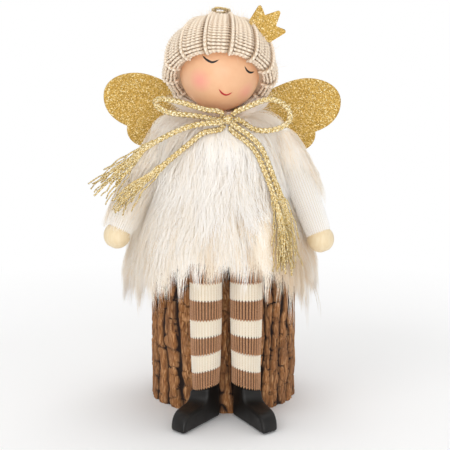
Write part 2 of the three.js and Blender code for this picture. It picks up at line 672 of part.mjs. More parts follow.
// Legs: a stuffed knitted leg on a dowel that stands in the boot
function buildLeg(word, side) {
  const leg = new THREE.Group();
  leg.applyMatrix4(legFrame(side));
  doll.add(leg);
  const bore = LEG_DOWEL_RADIUS + FIT;
  const dowelTop = -LEG_TOP_RADIUS / 2;
  const profile = [
    ...legOutline(),
    [bore, -LEG_LENGTH],
    [bore, dowelTop + FIT],
    [0, dowelTop + FIT],
  ].reverse();
  place(leg, `${word}_leg`, turned(profile, LIMB_ROUND), stripedKnit);
  const soleZ = BOOT_SOLE_GAP - HIP_Z;
  place(leg, `${word}_leg_dowel`, bar(LEG_DOWEL_RADIUS, soleZ + BOOT_HEIGHT / 2, dowelTop, 12), dowelWood);
  const boot = place(leg, `${word}_boot`, bootGeometry(side), blackPaint);
  boot.position.z = soleZ;
  boot.rotation.z = side * (side < 0 ? BOOT_TURN_LEFT : BOOT_TURN_RIGHT) * RAD;
}

for (const [word, side] of [['left', -1], ['right', 1]]) {
  buildArm(word, side);
  buildLeg(word, side);
}

export default doll;
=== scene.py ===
import bpy
import numpy as np
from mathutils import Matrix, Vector


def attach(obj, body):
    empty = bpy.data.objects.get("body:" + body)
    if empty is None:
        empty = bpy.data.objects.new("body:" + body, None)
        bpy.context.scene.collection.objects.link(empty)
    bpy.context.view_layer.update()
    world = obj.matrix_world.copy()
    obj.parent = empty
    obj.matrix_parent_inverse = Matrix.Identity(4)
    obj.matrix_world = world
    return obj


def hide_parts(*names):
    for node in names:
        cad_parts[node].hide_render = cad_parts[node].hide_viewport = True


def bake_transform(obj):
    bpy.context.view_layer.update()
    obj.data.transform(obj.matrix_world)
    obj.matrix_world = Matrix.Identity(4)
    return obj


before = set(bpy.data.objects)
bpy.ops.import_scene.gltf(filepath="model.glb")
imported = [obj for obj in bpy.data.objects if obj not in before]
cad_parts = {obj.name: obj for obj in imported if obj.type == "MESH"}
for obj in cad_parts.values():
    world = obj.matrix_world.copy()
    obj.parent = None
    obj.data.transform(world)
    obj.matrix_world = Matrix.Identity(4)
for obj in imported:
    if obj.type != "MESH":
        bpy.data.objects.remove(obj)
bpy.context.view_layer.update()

# Lengths below are millimetres, angles are degrees, and add_piece turns them into metres.
MM = 0.001
TURN = 2 * np.pi

# Places shared with the solids
LOG_RADIUS = 40
LOG_HEIGHT = 84
BARK_RISE = 1.2
BARK_FURROW = 2.2
RIDGE_COUNT = 30
RIDGE_SWAY = 0.13
DOLL_X = -2
DOLL_Y = -4
HEAD = np.array([DOLL_X, DOLL_Y, 188.0])
HEAD_RADIUS = 22.5
HAT_INNER = 22.8
HAT_OUTER = 31.8
HAT_COVER = 96
HAT_TILT_BACK = 44
HAT_TILT_SIDE = 4
HEAD_TURNS = (-30, -15, 0, 15, 30)
SHOULDER_Z = 150.0
ARM_SPREAD = 34
ARM_Y = -10
ARM_LENGTH = 59.2
ARM_LEAN = 14
ARM_SPLAY = {"left": 26, "right": 20.5}
SIDE = {"left": -1, "right": 1}
HIP = {"left": np.array([-9.6, -49.477, 93.3]), "right": np.array([12.4, -48.851, 93.3])}
HEM_Z = 19.9
BEAD_RADIUS = 7.5
BOOT_TURN = {"left": 30, "right": 25}
WING_MIDDLE = np.array([-1.2, 26.3, 153.2])
WING_LEAN = 1.8
WINGS_LOW = 137
CORD_DIAMETER = 2.6
LOOP_DIAMETER = 2.2
KNOT = np.array([2.4, -26.2, 163.6])
NECK_RING = np.array([-2, -6.3, 160.3])
NECK_RING_RADIUS = 15.5
NECK_RING_TILT = 10

# Routes of the gold cords, as in the solids
BOW_ROUTES = {
    "bow_loop_left": [
        (-0.1, -25.1, 165.9), (-1.9, -24.4, 167.6), (-10.1, -26, 169.1), (-15, -27, 170.7),
        (-22.1, -27, 172.9), (-29, -25, 174.1), (-34.8, -22.5, 174.5), (-37.5, -20.5, 172.5),
        (-36, -21.5, 169.9), (-31.5, -24.5, 167.8), (-25.9, -27, 166.9), (-19.4, -28, 166.5),
        (-12.3, -27.5, 165.5), (-3.7, -25.6, 163.3), (-1.1, -25.8, 163.4),
    ],
    "bow_loop_right": [
        (4.9, -25.1, 165.9), (6.7, -24.4, 167.6), (9.6, -26, 169.1), (14.8, -26.8, 171.5),
        (19.7, -27, 173.5), (24.7, -27, 174.8), (29.7, -26, 173.8), (34, -25, 170.9),
        (36.5, -24.5, 166.4), (35.4, -25.5, 161.9), (31.5, -27.5, 159.4), (26.5, -29.5, 158.3),
        (21.6, -30, 158), (16.4, -29.5, 158.9), (8.5, -25.6, 163.3), (5.9, -25.8, 163.4),
    ],
    "tail_left_upper": [
        (0.1, -28.5, 163.1), (-1.7, -30.3, 162.7), (-12.2, -33.5, 162.3), (-19.2, -35, 160.9),
        (-25.8, -36, 158.5), (-33.4, -36.5, 154.8), (-43.7, -36.5, 148.5), (-53.7, -36, 139.5),
        (-63.1, -35.5, 130.6), (-70.9, -35, 122.7),
    ],
    "tail_left_lower": [
        (0.2, -26.6, 160.7), (-1.3, -26.8, 158.6), (-11.1, -32.5, 157.2), (-19.3, -35, 151),
        (-27.7, -37, 144.4), (-38.9, -39, 135.4), (-47.1, -39.5, 129.1), (-53.7, -39.5, 122.1),
        (-59.3, -39, 114),
    ],
    "tail_right_front": [
        (4.4, -28.5, 162.3), (5.9, -30.3, 161.2), (15, -34.5, 155.3), (20.4, -36.5, 149.6),
        (26.4, -39, 136.2), (29.7, -40.5, 126.5), (33, -42.5, 116.9), (34.8, -46, 107.7),
        (35.8, -52, 95.4), (37, -57, 83),
    ],
    "tail_right_back": [
        (3.7, -26.6, 160.1), (4.6, -26.8, 157.7), (11.5, -32, 153.2), (17.2, -35, 147.9),
        (23.1, -39.5, 135.7), (26.4, -41.5, 126.7), (29.6, -44, 117.2), (31.5, -47.5, 108),
        (32.5, -53.5, 95.7), (33.5, -58.5, 84.4),
    ],
}
HANGING_LOOP = [
    (-3, 5, 31.8), (-3.1, 4.6, 33.7), (-0.4, 4.2, 34.1), (2.6, 5.2, 33.5), (4.6, 9, 32.6),
    (4, 13.2, 31.2), (0.2, 15.4, 30.4), (-3.2, 13, 31.4), (-3.4, 9.8, 33), (-3.2, 8.4, 31.2),
]

rng = np.random.default_rng(24)


# Arithmetic on arrays of points

def unit(vectors):
    """Each vector divided by its own length."""
    return vectors / np.maximum(np.linalg.norm(vectors, axis=-1, keepdims=True), 1e-9)


def ease(x):
    """A smooth step from 0 to 1 as x goes from 0 to 1."""
    x = np.clip(x, 0, 1)
    return x * x * (3 - 2 * x)


def spin(points, axis, degrees):
    """Points turned about the X, Y or Z axis."""
    a, b = {"x": (1, 2), "y": (2, 0), "z": (0, 1)}[axis]
    angle = np.radians(degrees)
    turned = np.array(points, float)
    turned[..., a] = points[..., a] * np.cos(angle) - points[..., b] * np.sin(angle)
    turned[..., b] = points[..., a] * np.sin(angle) + points[..., b] * np.cos(angle)
    return turned


def lengths_along(points):
    """Each point's distance from the first, along the line through them."""
    return np.concatenate([[0], np.cumsum(np.linalg.norm(np.diff(points, axis=0), axis=1))])


def smooth_route(knots, spacing):
    """A centripetal Catmull-Rom curve through the knots, read again at even spacing along its length."""
    knots = np.array(knots, float)
    knots = np.vstack([2 * knots[0] - knots[1], knots, 2 * knots[-1] - knots[-2]])
    t = np.concatenate([[0], np.cumsum(np.sqrt(np.linalg.norm(np.diff(knots, axis=0), axis=1)))])
    fine = []
    for i in range(1, len(knots) - 2):
        s = np.linspace(t[i], t[i + 1], 40, endpoint=False)[:, None]
        a = [
            ((t[j + 1] - s) * knots[j] + (s - t[j]) * knots[j + 1]) / (t[j + 1] - t[j])
            for j in (i - 1, i, i + 1)
        ]
        b = [
            ((t[j + 1] - s) * a[k] + (s - t[j - 1]) * a[k + 1]) / (t[j + 1] - t[j - 1])
            for k, j in ((0, i), (1, i + 1))
        ]
        fine.append(((t[i + 1] - s) * b[0] + (s - t[i]) * b[1]) / (t[i + 1] - t[i]))
    fine = np.vstack(fine + [knots[-2:-1]])
    reach = lengths_along(fine)
    even = np.linspace(0, reach[-1], int(reach[-1] / spacing) + 2)
    return np.stack([np.interp(even, reach, fine[:, k]) for k in range(3)], 1), even


def catmull(values, share):
    """A smooth curve through stations in the last axis, read at shares from 0 to 1."""
    count = values.shape[-1] - 1
    at = share * count
    i = np.clip(np.floor(at).astype(int), 0, count - 1)
    t = at - i
    a, b, c, d = (values[..., np.clip(i + k, 0, count)] for k in (-1, 0, 1, 2))
    return b + 0.5 * t * (c - a + t * (2 * a - 5 * b + 4 * c - d + t * (3 * (b - c) + d - a)))


def bezier(a, b, c, d, steps):
    """Points of a cubic curve from a to d, without d."""
    t = np.linspace(0, 1, steps, endpoint=False)[:, None]
    a, b, c, d = (np.array(p, float) for p in (a, b, c, d))
    return (1 - t) ** 3 * a + 3 * t * (1 - t) ** 2 * b + 3 * t ** 2 * (1 - t) * c + t ** 3 * d


# Shapes: points with faces, and numbers on the points for the materials to read

class Shape:
    """Points (mm), faces of four, three or many corners, and named numbers on the points."""

    def __init__(self, points, quads=(), tris=(), rims=(), **fields):
        self.points = np.asarray(points, float).reshape(-1, 3)
        self.quads = np.asarray(quads, int).reshape(-1, 4)
        self.tris = np.asarray(tris, int).reshape(-1, 3)
        self.rims = [np.asarray(rim, int) for rim in rims]
        self.fields = {k: np.broadcast_to(v, len(self.points)) for k, v in fields.items()}


def join(*shapes):
    """Several shapes as one, with their point numbers moved on."""
    starts = np.cumsum([0] + [len(s.points) for s in shapes[:-1]])
    names = {name for s in shapes for name in s.fields}
    return Shape(
        np.vstack([s.points for s in shapes]),
        np.vstack([s.quads + n for s, n in zip(shapes, starts)]),
        np.vstack([s.tris + n for s, n in zip(shapes, starts)]),
        [rim + n for s, n in zip(shapes, starts) for rim in s.rims],
        **{
            name: np.concatenate([s.fields.get(name, np.zeros(len(s.points))) for s in shapes])
            for name in names
        },
    )


def grid_quads(rows, columns, ring=False):
    """Faces of a grid of points, closed round its columns, and round its rows too if ring is set."""
    index = np.arange(rows * columns).reshape(rows, columns)
    below = np.roll(index, -1, 0)
    corners = (index, below, np.roll(below, -1, 1), np.roll(index, -1, 1))
    last = rows if ring else rows - 1
    return np.stack([c[:last].ravel() for c in corners], 1)


def turned_shape(profile, facets):
    """A profile of (radius, height), from the lower pole to the upper, carried round the Z axis."""
    profile = np.asarray(profile, float)
    angle = TURN * np.arange(facets) / facets
    radius, height = profile[:, :1], profile[:, 1:]
    level = np.broadcast_to(height, (len(profile), facets))
    points = np.stack([radius * np.cos(angle), radius * np.sin(angle), level], 2)
    quads = grid_quads(len(profile), facets)[:, ::-1]
    last = len(profile) * facets
    ends = np.arange(facets)
    return Shape(points.reshape(-1, 3), quads, rims=[ends[::-1], ends + last - facets])


def plate_shape(outline, thick, rounding):
    """A flat outline in the XZ plane as a plate, its edges rounded by drawing the outline in."""
    ahead = np.roll(outline, -1, 0) - np.roll(outline, 1, 0)
    inward = unit(np.stack([-ahead[:, 1], ahead[:, 0]], 1))
    bend = np.radians(np.linspace(0, 90, 4))
    depth = np.concatenate([
        rounding * (1 - np.cos(bend)), thick - rounding * (1 - np.cos(bend[::-1])),
    ])
    inset = np.concatenate([rounding * (1 - np.sin(bend)), rounding * (1 - np.sin(bend[::-1]))])
    rings = outline[None] + inward[None] * inset[:, None, None]
    deep = np.broadcast_to(depth[:, None], rings.shape[:2])
    points = np.stack([rings[..., 0], deep, rings[..., 1]], 2).reshape(-1, 3)
    count = len(outline)
    ends = np.arange(count)
    rims = [ends, (ends + (len(depth) - 1) * count)[::-1]]
    return Shape(points, grid_quads(len(depth), count), rims=rims)


def sweep(paths, outward, half_width, half_depth, sides, closed=False, **fields):
    """Tubes along many paths at once: an ellipse is laid across each path at each of its points, with
    its depth along the outward direction. Open tubes end in a fan of faces about the path's end."""
    paths = np.asarray(paths, float)
    count, steps = paths.shape[:2]
    if closed:
        along = np.roll(paths, -1, 1) - np.roll(paths, 1, 1)
    else:
        along = np.gradient(paths, axis=1)
    along = unit(along)
    side = unit(np.cross(along, outward))
    out = np.cross(side, along)
    angle = TURN * np.arange(sides) / sides
    width = np.broadcast_to(half_width, (count, steps))[:, :, None, None]
    depth = np.broadcast_to(half_depth, (count, steps))[:, :, None, None]
    ring = side[:, :, None] * np.cos(angle)[:, None] * width
    ring = ring + out[:, :, None] * np.sin(angle)[:, None] * depth
    points = (paths[:, :, None] + ring).reshape(-1, 3)
    index = np.arange(count * steps * sides).reshape(count, steps, sides)
    ahead = np.roll(index, -1, 1)
    beside = np.roll(index, -1, 2)
    both = np.roll(ahead, -1, 2)
    last = steps if closed else steps - 1
    quads = np.stack([c[:, :last].ravel() for c in (index, ahead, both, beside)], 1)
    values = {
        name: np.repeat(np.broadcast_to(value, (count, steps)).ravel(), sides)
        for name, value in fields.items()
    }
    if closed:
        return Shape(points, quads, **values)
    first = len(points) + np.arange(count)[:, None] + np.zeros(sides, int)
    tris = np.concatenate([
        np.stack([first, index[:, 0], beside[:, 0]], 2).reshape(-1, 3),
        np.stack([first + count, beside[:, -1], index[:, -1]], 2).reshape(-1, 3),
    ])
    points = np.vstack([points, paths[:, 0], paths[:, -1]])
    for name, value in fields.items():
        value = np.broadcast_to(value, (count, steps))
        values[name] = np.concatenate([values[name], value[:, 0], value[:, -1]])
    return Shape(points, quads, tris, **values)


def strands(paths, radius, outward, **fields):
    """Hairs: a flat three-sided section carried along each path, its wide side turned outwards, thinning
    as a square root to a point at the tip."""
    count, steps = paths.shape[:2]
    along = unit(np.gradient(paths, axis=1))
    side = unit(np.cross(along, outward[:, None]))
    out = np.cross(side, along)
    angle = np.radians([30, 150, 270])
    thin = np.sqrt(1 - np.arange(steps - 1) / (steps - 1))
    radius = (np.broadcast_to(radius, count)[:, None] * thin)[:, :, None, None]
    ring = side[:, :-1, None] * np.cos(angle)[:, None] + out[:, :-1, None] * 0.6 * np.sin(angle)[:, None]
    body = (paths[:, :-1, None] + ring * radius).reshape(-1, 3)
    index = np.arange(len(body)).reshape(count, steps - 1, 3)
    beside = np.roll(index, -1, 2)
    corners = (index[:, :-1], index[:, 1:], beside[:, 1:], beside[:, :-1])
    quads = np.stack([c.ravel() for c in corners], 1)
    tip = len(body) + np.arange(count)[:, None] + np.zeros(3, int)
    tris = np.vstack([
        np.stack([tip, beside[:, -1], index[:, -1]], 2).reshape(-1, 3),
        index[:, 0],
    ])
    share = np.broadcast_to(np.arange(steps) / (steps - 1), (count, steps))
    values = {"along": np.concatenate([np.repeat(share[:, :-1].ravel(), 3), share[:, -1]])}
    for name, value in fields.items():
        value = np.broadcast_to(value, count)
        values[name] = np.concatenate([np.repeat(value, 3 * (steps - 1)), value])
    return Shape(np.vstack([body, paths[:, -1]]), quads, tris, **values)


def add_piece(name, shape, finish, body, slot, *replaced, flat=False):
    """Puts a shape into a mesh object at the origin, in metres, that rides on a CAD body. A piece given no
    body here rides on none; flat keeps every face flat, as on a hair."""
    mesh = bpy.data.meshes.new(name)
    mesh.vertices.add(len(shape.points))
    mesh.vertices.foreach_set("co", (shape.points * MM).astype(np.float32).ravel())
    corners = [shape.quads.ravel(), shape.tris.ravel(), *shape.rims]
    sizes = np.concatenate([
        np.full(len(shape.quads), 4),
        np.full(len(shape.tris), 3),
        np.array([len(rim) for rim in shape.rims], int),
    ])
    loops = np.concatenate(corners).astype(np.int32)
    mesh.loops.add(len(loops))
    mesh.loops.foreach_set("vertex_index", loops)
    mesh.polygons.add(len(sizes))
    starts = np.concatenate([[0], np.cumsum(sizes)[:-1]]).astype(np.int32)
    mesh.polygons.foreach_set("loop_start", starts)
    smooth = np.arange(len(sizes)) < (0 if flat else len(sizes) - len(shape.rims))
    mesh.polygons.foreach_set("use_smooth", smooth)
    mesh.update(calc_edges=True)
    for field, values in shape.fields.items():
        layer = mesh.attributes.new(field, "FLOAT", "POINT")
        layer.data.foreach_set("value", np.asarray(values, np.float32))
    mesh.materials.append(finish)
    piece = bpy.data.objects.new(name, mesh)
    bpy.context.collection.objects.link(piece)
    if body:
        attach(piece, body)
    if replaced:
        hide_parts(*replaced)
    return piece


# Finishes

class Finish:
    """A Principled material whose nodes are added one call at a time."""

    def __init__(self, name, **sockets):
        self.material = bpy.data.materials.new(name)
        self.material.use_nodes = True
        self.tree = self.material.node_tree
        self.shader = self.tree.nodes["Principled BSDF"]
        self.set(self.shader, **sockets)
        self.place = self.tree.nodes.new("ShaderNodeTexCoord").outputs["Object"]

    def feed(self, socket, value):
        """Links an output to the socket, or sets the socket to a constant."""
        if isinstance(value, bpy.types.NodeSocket):
            self.tree.links.new(value, socket)
        else:
            socket.default_value = value

    def set(self, node, **inputs):
        """Feeds a node's sockets by their names, in which _ stands for a space."""
        for name, value in inputs.items():
            self.feed(node.inputs[name.replace("_", " ")], value)

    def stretched(self, x, y, z):
        """Object coordinates in millimetres, divided by a size along each axis."""
        mapping = self.tree.nodes.new("ShaderNodeMapping")
        self.set(mapping, Vector=self.place, Scale=(1 / (x * MM), 1 / (y * MM), 1 / (z * MM)))
        return mapping.outputs["Vector"]

    def distance(self, point):
        """Metres from a point, which is given in millimetres, to the place that is coloured."""
        node = self.tree.nodes.new("ShaderNodeVectorMath")
        node.operation = "DISTANCE"
        self.feed(node.inputs[0], self.place)
        self.feed(node.inputs[1], np.asarray(point) * MM)
        return node.outputs["Value"]

    def noise(self, vector, detail=3, distortion=0):
        """Smooth noise from 0 to 1, about one wave to each unit of the vector."""
        node = self.tree.nodes.new("ShaderNodeTexNoise")
        self.set(node, Vector=vector, Scale=1, Detail=detail, Distortion=distortion)
        return node.outputs["Fac"]

    def cells(self, vector, output="Color"):
        """Cells about one unit wide: each one's random colour, or the distance from its middle."""
        node = self.tree.nodes.new("ShaderNodeTexVoronoi")
        self.set(node, Vector=vector, Scale=1)
        return node.outputs[output]

    def field(self, name):
        """The numbers of that name on the shape's points."""
        node = self.tree.nodes.new("ShaderNodeAttribute")
        node.attribute_name = name
        return node.outputs["Fac"]

    def ramp(self, value, *stops):
        """Colours, as six-digit codes, or grey levels at places from 0 to 1."""
        node = self.tree.nodes.new("ShaderNodeValToRGB")
        while len(node.color_ramp.elements) < len(stops):
            node.color_ramp.elements.new(0.5)
        for element, (place, colour) in zip(node.color_ramp.elements, stops):
            element.position = place
            element.color = paint(colour)
        self.set(node, Fac=value)
        return node.outputs["Color"]

    def mix(self, share, a, b):
        """Colour a, turning into colour b as the share goes from 0 to 1."""
        node = self.tree.nodes.new("ShaderNodeMix")
        node.data_type = "RGBA"
        for socket, value in zip((node.inputs[0], node.inputs[6], node.inputs[7]), (share, a, b)):
            self.feed(socket, paint(value) if isinstance(value, str) else value)
        return node.outputs[2]

    def math(self, kind, a, b):
        """Two numbers added, multiplied or divided, as kind says."""
        node = self.tree.nodes.new("ShaderNodeMath")
        node.operation = kind
        for socket, value in zip(node.inputs, (a, b)):
            self.feed(socket, value)
        return node.outputs[0]

    def bump(self, height, depth, strength):
        """Raises the surface by the height, whose full range is depth millimetres."""
        node = self.tree.nodes.new("ShaderNodeBump")
        self.set(node, Height=height, Distance=depth * MM, Strength=strength)
        self.set(self.shader, Normal=node.outputs["Normal"])

    def colour(self, value):
        """Gives the shader its colour."""
        self.set(self.shader, Base_Color=value)
        return self


def paint(code):
    """A six-digit colour code, or a grey level, as the linear colour that Blender's sockets take."""
    if isinstance(code, str):
        shown = np.array([int(code[i:i + 2], 16) / 255 for i in (0, 2, 4)])
        level = np.where(shown <= 0.04045, shown / 12.92, ((shown + 0.055) / 1.055) ** 2.4)
    else:
        level = np.full(3, float(code))
    return (*level, 1.0)


def bark_finish():
    """Painted shade darkens the cracks and furrows, read from the bark's height field; ridge faces run from
    red-brown to pale fibre drawn out upright.
    """
    f = Finish("ridged_bark", Roughness=0.9)
    fibre = f.noise(f.stretched(0.9, 0.9, 5), 6, 0.6)
    patch = f.noise(f.stretched(6, 6, 18), 3)
    plate = f.ramp(fibre, (0.28, "5f371c"), (0.5, "a36c3c"), (0.7, "dba977"))
    tinted = f.mix(f.ramp(patch, (0.4, 0.0), (0.66, 0.6)), plate, "7f5637")
    # Painted shade: the lower the height field, in furrows and cracks, the nearer the colour comes to dark
    # brown
    shade = f.ramp(f.field("height"), (0.25, 0.0), (0.6, 0.6), (0.9, 1.0))
    f.bump(fibre, 0.8, 1.0)
    return f.colour(f.mix(shade, "221108", tinted)).material


def wood_finish(name, dark, light, roughness, coat=0.0):
    """Straight grain: noise drawn out along Z between two wood colours."""
    f = Finish(name, Roughness=roughness, Coat_Weight=coat)
    grain = f.noise(f.stretched(1.3, 1.3, 14), 4, 0.8)
    f.bump(grain, 0.08, 0.5)
    return f.colour(f.ramp(grain, (0.35, dark), (0.65, light))).material


def skin_finish():
    """Painted skin with two soft blush rounds, each a falling ramp of the distance to its middle."""
    f = Finish("skin_paint", Roughness=0.42, Coat_Weight=0.15, Coat_Roughness=0.3)
    mottle = f.noise(f.stretched(5, 5, 5), 3)
    tone = f.ramp(mottle, (0.3, "e9b389"), (0.7, "edba90"))
    for place, size, strength in BLUSH:
        near = f.math("DIVIDE", f.distance(on_head(*place)), size * MM)
        share = f.ramp(near, (0.15, strength), (1.0, 0.0))
        tone = f.mix(share, tone, "f29a8c")
    f.bump(f.noise(f.stretched(0.9, 0.9, 0.9), 2), 0.05, 0.25)
    return f.colour(tone).material


def yarn_finish(name, gap, low, high):
    """Spun yarn: fine noise between two colours, and a gap colour deep in the knit by the depth field,
    which is painted shade.
    """
    f = Finish(name, Roughness=0.92, Sheen_Weight=0.25, Sheen_Roughness=0.5)
    fleck = f.noise(f.stretched(0.55, 0.55, 0.9), 4)
    tone = f.ramp(fleck, (0.3, low), (0.7, high))
    f.bump(fleck, 0.25, 0.5)
    return f.colour(f.mix(f.field("depth"), gap, tone)).material


def striped_finish():
    """The leg's yarn: two yarns by the stripe field, flecked, with painted shade deep in the knit by the
    depth field.
    """
    f = Finish("striped_yarn", Roughness=0.92, Sheen_Weight=0.2, Sheen_Roughness=0.5)
    fleck = f.noise(f.stretched(0.5, 0.5, 0.8), 4)
    brown = f.ramp(fleck, (0.3, "a8754f"), (0.7, "d8a478"))
    cream = f.ramp(fleck, (0.3, "f4e9d5"), (0.7, "fdf6e9"))
    yarn = f.mix(f.field("stripe"), brown, cream)
    # Painted shade deep in the knit: dark brown under the brown stripes, pale under the cream ones
    gap = f.mix(f.field("stripe"), "341c0e", "f0e4ce")
    f.bump(fleck, 0.2, 0.5)
    return f.colour(f.mix(f.field("depth"), gap, yarn)).material


def pile_finish():
    """Pile: a warm beige at the root, partly the pile's own colour and partly painted shade deep in the
    pile, turns white along each hair, and each hair has its own tone.
    """
    f = Finish("long_pile", Roughness=0.7)
    # The root colours are partly painted shade deep in the pile; a lower tone takes more of it
    root = f.ramp(f.field("tone"), (0.0, "e6d0ae"), (0.5, "f6ead8"), (1.0, "fdf7ee"))
    tip = f.ramp(f.field("tone"), (0.0, "f2e3cc"), (0.5, "fdf8ef"), (1.0, "fffdfa"))
    share = f.ramp(f.field("along"), (0.1, 0.0), (0.75, 1.0))
    return f.colour(f.mix(share, root, tip)).material


def cloth_finish():
    """The coat's backing cloth: small round nubs, each a cell that falls away from its middle, in warm
    white."""
    f = Finish("backing_cloth", Roughness=0.95)
    nubs = f.cells(f.stretched(0.8, 0.8, 0.8), "Distance")
    f.bump(nubs, 0.2, 0.4)
    return f.colour(f.ramp(nubs, (0.1, "f1e7d8"), (0.7, "fcf8f1"))).material


def glitter_finish():
    """Felt under glitter: each grain is a cell with its own gold and its own slope and gloss; the palest
    golds are painted glints.
    """
    f = Finish("gold_glitter", Metallic=0.25)
    grain = f.stretched(0.45, 0.45, 0.45)
    pick = f.tree.nodes.new("ShaderNodeSeparateColor")
    f.set(pick, Color=f.cells(grain))
    red, green = pick.outputs["Red"], pick.outputs["Green"]
    # Painted glint: the palest golds, near white, stand for grains catching the light
    gold = f.ramp(
        red, (0.0, "9c7726"), (0.3, "c0963c"), (0.6, "d2a94e"), (0.86, "e4c374"), (0.96, "fdeebc"),
    )
    f.set(f.shader, Roughness=f.ramp(green, (0.1, 0.3), (0.9, 0.8)))
    f.bump(f.math("ADD", red, f.cells(grain, "Distance")), 0.2, 0.6)
    return f.colour(gold).material


def thread_finish(name, dark, mid, light):
    """Metallic thread: painted glints and duller lengths by fine noise, and painted shade deep in the braid
    by the depth field.
    """
    f = Finish(name, Metallic=0.4, Roughness=0.35)
    glint = f.noise(f.stretched(0.5, 0.5, 0.5), 3)
    # Painted light along the thread: the light colour is a painted glint, the dark one a painted dull,
    # shaded length
    tone = f.ramp(glint, (0.33, dark), (0.46, mid), (0.62, light))
    f.bump(glint, 0.15, 0.5)
    # Painted shade: dark gold deep in the braid, where the depth field is low
    return f.colour(f.mix(f.field("depth"), "6b4c14", tone)).material


def boot_finish():
    """Satin black paint over wood, with a faint grain and patches that are rubbed duller."""
    f = Finish("boot_paint", Specular_IOR_Level=0.4)
    grain = f.noise(f.stretched(1.2, 5, 1.2), 4)
    worn = f.noise(f.stretched(7, 7, 7), 3)
    f.set(f.shader, Roughness=f.ramp(worn, (0.3, 0.4), (0.7, 0.56)))
    f.bump(grain, 0.12, 0.5)
    return f.colour(f.ramp(worn, (0.3, "0b0907"), (0.7, "130f0c"))).material


def ink_finish(name, dark, light, roughness):
    """Brushed paint of a drawn line, with a slightly uneven tone."""
    f = Finish(name, Roughness=roughness)
    return f.colour(f.ramp(f.noise(f.stretched(1, 1, 1)), (0.3, dark), (0.7, light))).material


# Face, as places on the head ball: degrees right of straight ahead and degrees up

LASHES = [
    [(-29.2, 27.8), (-19.4, 21.0), (-10.5, 18.0), (-0.1, 22.2)],
    [(37.5, 12.1), (41.7, 4.9), (48.7, 1.4), (57.8, 1.9)],
]
MOUTH = [(-2.2, -19.0), (4.1, -27.3), (11.2, -30.0), (20.8, -25.3)]
LASH_HALF_WIDTH = 0.62
MOUTH_HALF_WIDTH = 0.6
# Middle, radius in millimetres and strength of each blush round
BLUSH = [((-29.8, -8.7), 7.6, 0.75), ((46.1, -27.3), 6.6, 0.5)]


def on_head(right, up, radius=HEAD_RADIUS):
    """The point of the head ball at that many degrees right of straight ahead and up."""
    right, up = np.radians(right), np.radians(up)
    ahead = np.stack([np.cos(up) * np.sin(right), -np.cos(up) * np.cos(right), np.sin(up)], -1)
    return HEAD + radius * ahead


def ball_profile(radius, rows, low=180.0, high=0.0):
    """(radius, height) along a circle, from low to high degrees off the +Z axis."""
    angle = np.radians(np.linspace(low, high, rows))
    return np.stack([np.maximum(radius * np.sin(angle), 1e-3), radius * np.cos(angle)], 1)


def drawn_line(places, half_width):
    """A painted line on the head: a smooth route over the ball, its width swelling as a sine."""
    degrees = np.array(places, float)
    route, reach = smooth_route(np.column_stack([degrees, np.zeros(len(degrees))]), 1.0)
    path = on_head(route[:, 0], route[:, 1], HEAD_RADIUS + 0.02)
    share = reach / reach[-1]
    swell = half_width * (0.35 + 0.65 * np.sin(np.pi * share)) * ease(6 * share) * ease(6 - 6 * share)
    swell = np.maximum(swell, 0.03)
    return sweep(path[None], unit(path - HEAD)[None], swell, np.minimum(swell, 0.16), 8)


def build_head():
    """The turned ball with its paint, and the lashes and the mouth drawn on it."""
    ball = turned_shape(ball_profile(HEAD_RADIUS, 65), 96)
    ball.points += HEAD
    add_piece("painted_head", ball, skin_finish(), "head", "skin_paint", "head_ball")
    black = ink_finish("lash_paint", "0d0b0a", "1b1614", 0.45)
    red = ink_finish("lip_paint", "b01822", "cc2a30", 0.4)
    for word, places in zip(("left", "right"), LASHES):
        add_piece(f"{word}_lash", drawn_line(places, LASH_HALF_WIDTH), black, "head", "skin_paint")
    add_piece("smile", drawn_line(MOUTH, MOUTH_HALF_WIDTH), red, "head", "skin_paint")


# Knitting

STITCH_HEIGHT = 1.45


def knitted(surface, columns, rows, yarn, depth, pull, sides=5, samples=6, rib=None):
    """Courses of yarn on a surface of u (round) and v (down), both 0 to 1, and the course's share at each
    point. Along one stitch the yarn goes down and up, so that courses stack into columns of V, which a
    sine draws together. In plain knit it goes nearly straight, as the arcsine of a cosine, and the foot
    of the V stands out while its top lies back, as two cosines. In a rib it goes as a cosine: on the
    front of a stitch its foot stands out, and on the back the yarn leans over itself as a sine of twice
    the angle, and its top and foot stand out as bars. rib gives each column its width, its face (1 front,
    0 back), how far it stands out and its height in courses."""
    one = np.ones(columns)
    width, face, lift, tall = rib if rib else (one, one, 0 * one, STITCH_HEIGHT * one)
    stitch = np.arange(columns * samples) / samples
    phase = TURN * stitch
    front = face[stitch.astype(int)]
    edges = np.concatenate([[0], np.cumsum(width)]) / np.sum(width)
    middles = np.arange(-1, columns + 1) + 0.5

    def between(values):
        return np.interp(stitch, middles, np.concatenate([values[-1:], values, values[:1]]))

    if rib:
        slope = np.cos(phase)
        swing = np.where(front > 0, -np.cos(phase), np.cos(2 * phase))
        bright = 0.35
    else:
        slope = np.arcsin(0.95 * np.cos(phase)) / np.arcsin(0.95)
        swing = -0.6 * np.cos(phase) - 0.4 * np.cos(2 * phase)
        bright = 0.75
    lean = np.where(front > 0, pull * np.sin(phase), 0.1 * np.sin(2 * phase))
    u = np.interp(np.mod(stitch + lean, columns), np.arange(columns + 1), edges)
    course = (np.arange(rows)[:, None] + 0.5) / rows
    v = course - between(tall) / 2 * slope / rows
    point, normal = surface(np.broadcast_to(u, v.shape), v)
    path = point + normal * (between(lift) + depth * swing)[..., None]
    # depth: painted shade, the yarn's own colour where it stands out and nearer the gap colour where it
    # lies back
    share = np.broadcast_to(np.clip(bright + 0.9 * swing, 0, 1), v.shape)
    half = yarn * (0.42 + 0.08 * swing)
    return sweep(path, normal, half, half, sides, True, depth=share), np.broadcast_to(course, v.shape)


